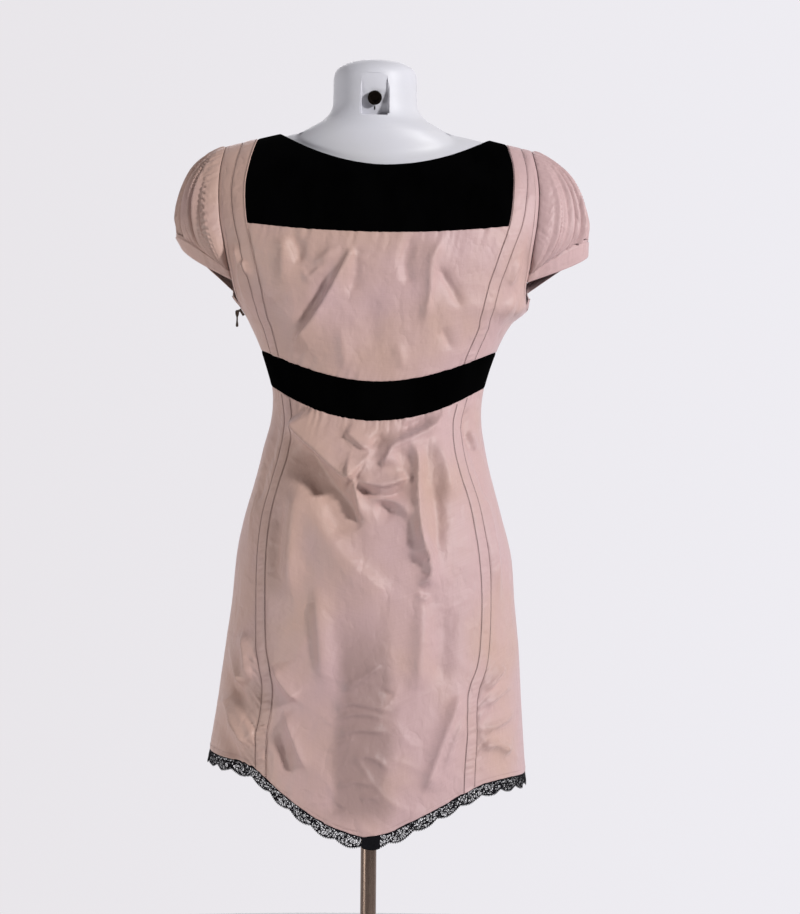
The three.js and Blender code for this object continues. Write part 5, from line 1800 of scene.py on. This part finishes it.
class DRESS_OT_stand(bpy.types.Operator):
    """Make the pole, collar and foot"""

    bl_idname = "dress.stand"
    bl_label = "Stand"

    def execute(self, context):
        build_stand(context.scene.dress_form_stand)
        return {"FINISHED"}


class DRESS_OT_velvet(bpy.types.Operator):
    """Make the velvet yoke and waistband"""

    bl_idname = "dress.velvet"
    bl_label = "Yoke and waistband"

    def execute(self, context):
        build_velvet(context.scene.dress_cloth)
        return {"FINISHED"}


class DRESS_OT_bodice(bpy.types.Operator):
    """Make the taffeta panels of the bodice"""

    bl_idname = "dress.bodice"
    bl_label = "Bodice"

    def execute(self, context):
        build_bodice(context.scene.dress_cloth)
        return {"FINISHED"}


class DRESS_OT_skirt(bpy.types.Operator):
    """Make the taffeta panels of the skirt"""

    bl_idname = "dress.skirt"
    bl_label = "Skirt"

    def execute(self, context):
        build_skirt(context.scene.dress_cloth)
        return {"FINISHED"}


class DRESS_OT_sleeves(bpy.types.Operator):
    """Make the puffed sleeves and their cuffs"""

    bl_idname = "dress.sleeves"
    bl_label = "Sleeves and cuffs"

    def execute(self, context):
        build_sleeves(context.scene.dress_cloth)
        return {"FINISHED"}


class DRESS_OT_lace(bpy.types.Operator):
    """Make the lace edging of the hem"""

    bl_idname = "dress.lace"
    bl_label = "Lace edging"

    def execute(self, context):
        build_lace(context.scene.dress_cloth)
        return {"FINISHED"}


class DRESS_OT_stitching(bpy.types.Operator):
    """Make the topstitching and the fine hem stitches"""

    bl_idname = "dress.stitching"
    bl_label = "Stitching"

    def execute(self, context):
        build_stitching(context.scene.dress_cloth)
        return {"FINISHED"}


class DRESS_OT_zip(bpy.types.Operator):
    """Finish the side zip with its coil, slider and pull tab"""

    bl_idname = "dress.zip"
    bl_label = "Side zip"

    def execute(self, context):
        build_zip(context.scene.dress_cloth)
        return {"FINISHED"}


class DRESS_OT_stage(bpy.types.Operator):
    """Make the floor, the light and the camera"""

    bl_idname = "dress.stage"
    bl_label = "Stage"

    def execute(self, context):
        build_stage(context.scene.dress_stage)
        return {"FINISHED"}


class DRESS_PT_panel(bpy.types.Panel):
    """Lists the pieces and their settings"""

    bl_idname = "DRESS_PT_panel"
    bl_label = "Evening dress"
    bl_space_type = "VIEW_3D"
    bl_region_type = "UI"
    bl_category = "Dress"

    def draw(self, context):
        layout = self.layout
        for group in (context.scene.dress_cloth, context.scene.dress_form_stand, context.scene.dress_stage):
            box = layout.box()
            for key in group.__annotations__:
                box.prop(group, key)
        for operator in OPERATORS:
            layout.operator(operator.bl_idname)


OPERATORS = (
    DRESS_OT_form,
    DRESS_OT_stand,
    DRESS_OT_velvet,
    DRESS_OT_bodice,
    DRESS_OT_skirt,
    DRESS_OT_sleeves,
    DRESS_OT_lace,
    DRESS_OT_stitching,
    DRESS_OT_zip,
    DRESS_OT_stage,
)
CLASSES = (DressSettings, StandSettings, StageSettings, *OPERATORS, DRESS_PT_panel)


def register():
    for cls in CLASSES:
        bpy.utils.register_class(cls)
    bpy.types.Scene.dress_cloth = bpy.props.PointerProperty(type=DressSettings)
    bpy.types.Scene.dress_form_stand = bpy.props.PointerProperty(type=StandSettings)
    bpy.types.Scene.dress_stage = bpy.props.PointerProperty(type=StageSettings)


def unregister():
    del bpy.types.Scene.dress_stage
    del bpy.types.Scene.dress_form_stand
    del bpy.types.Scene.dress_cloth
    for cls in reversed(CLASSES):
        bpy.utils.unregister_class(cls)


def main():
    register()
    steps = ("form", "stand", "velvet", "bodice", "skirt", "sleeves", "lace", "stitching", "zip", "stage")
    for step in steps:
        getattr(bpy.ops.dress, step)()


if __name__ == "__main__":
    main()
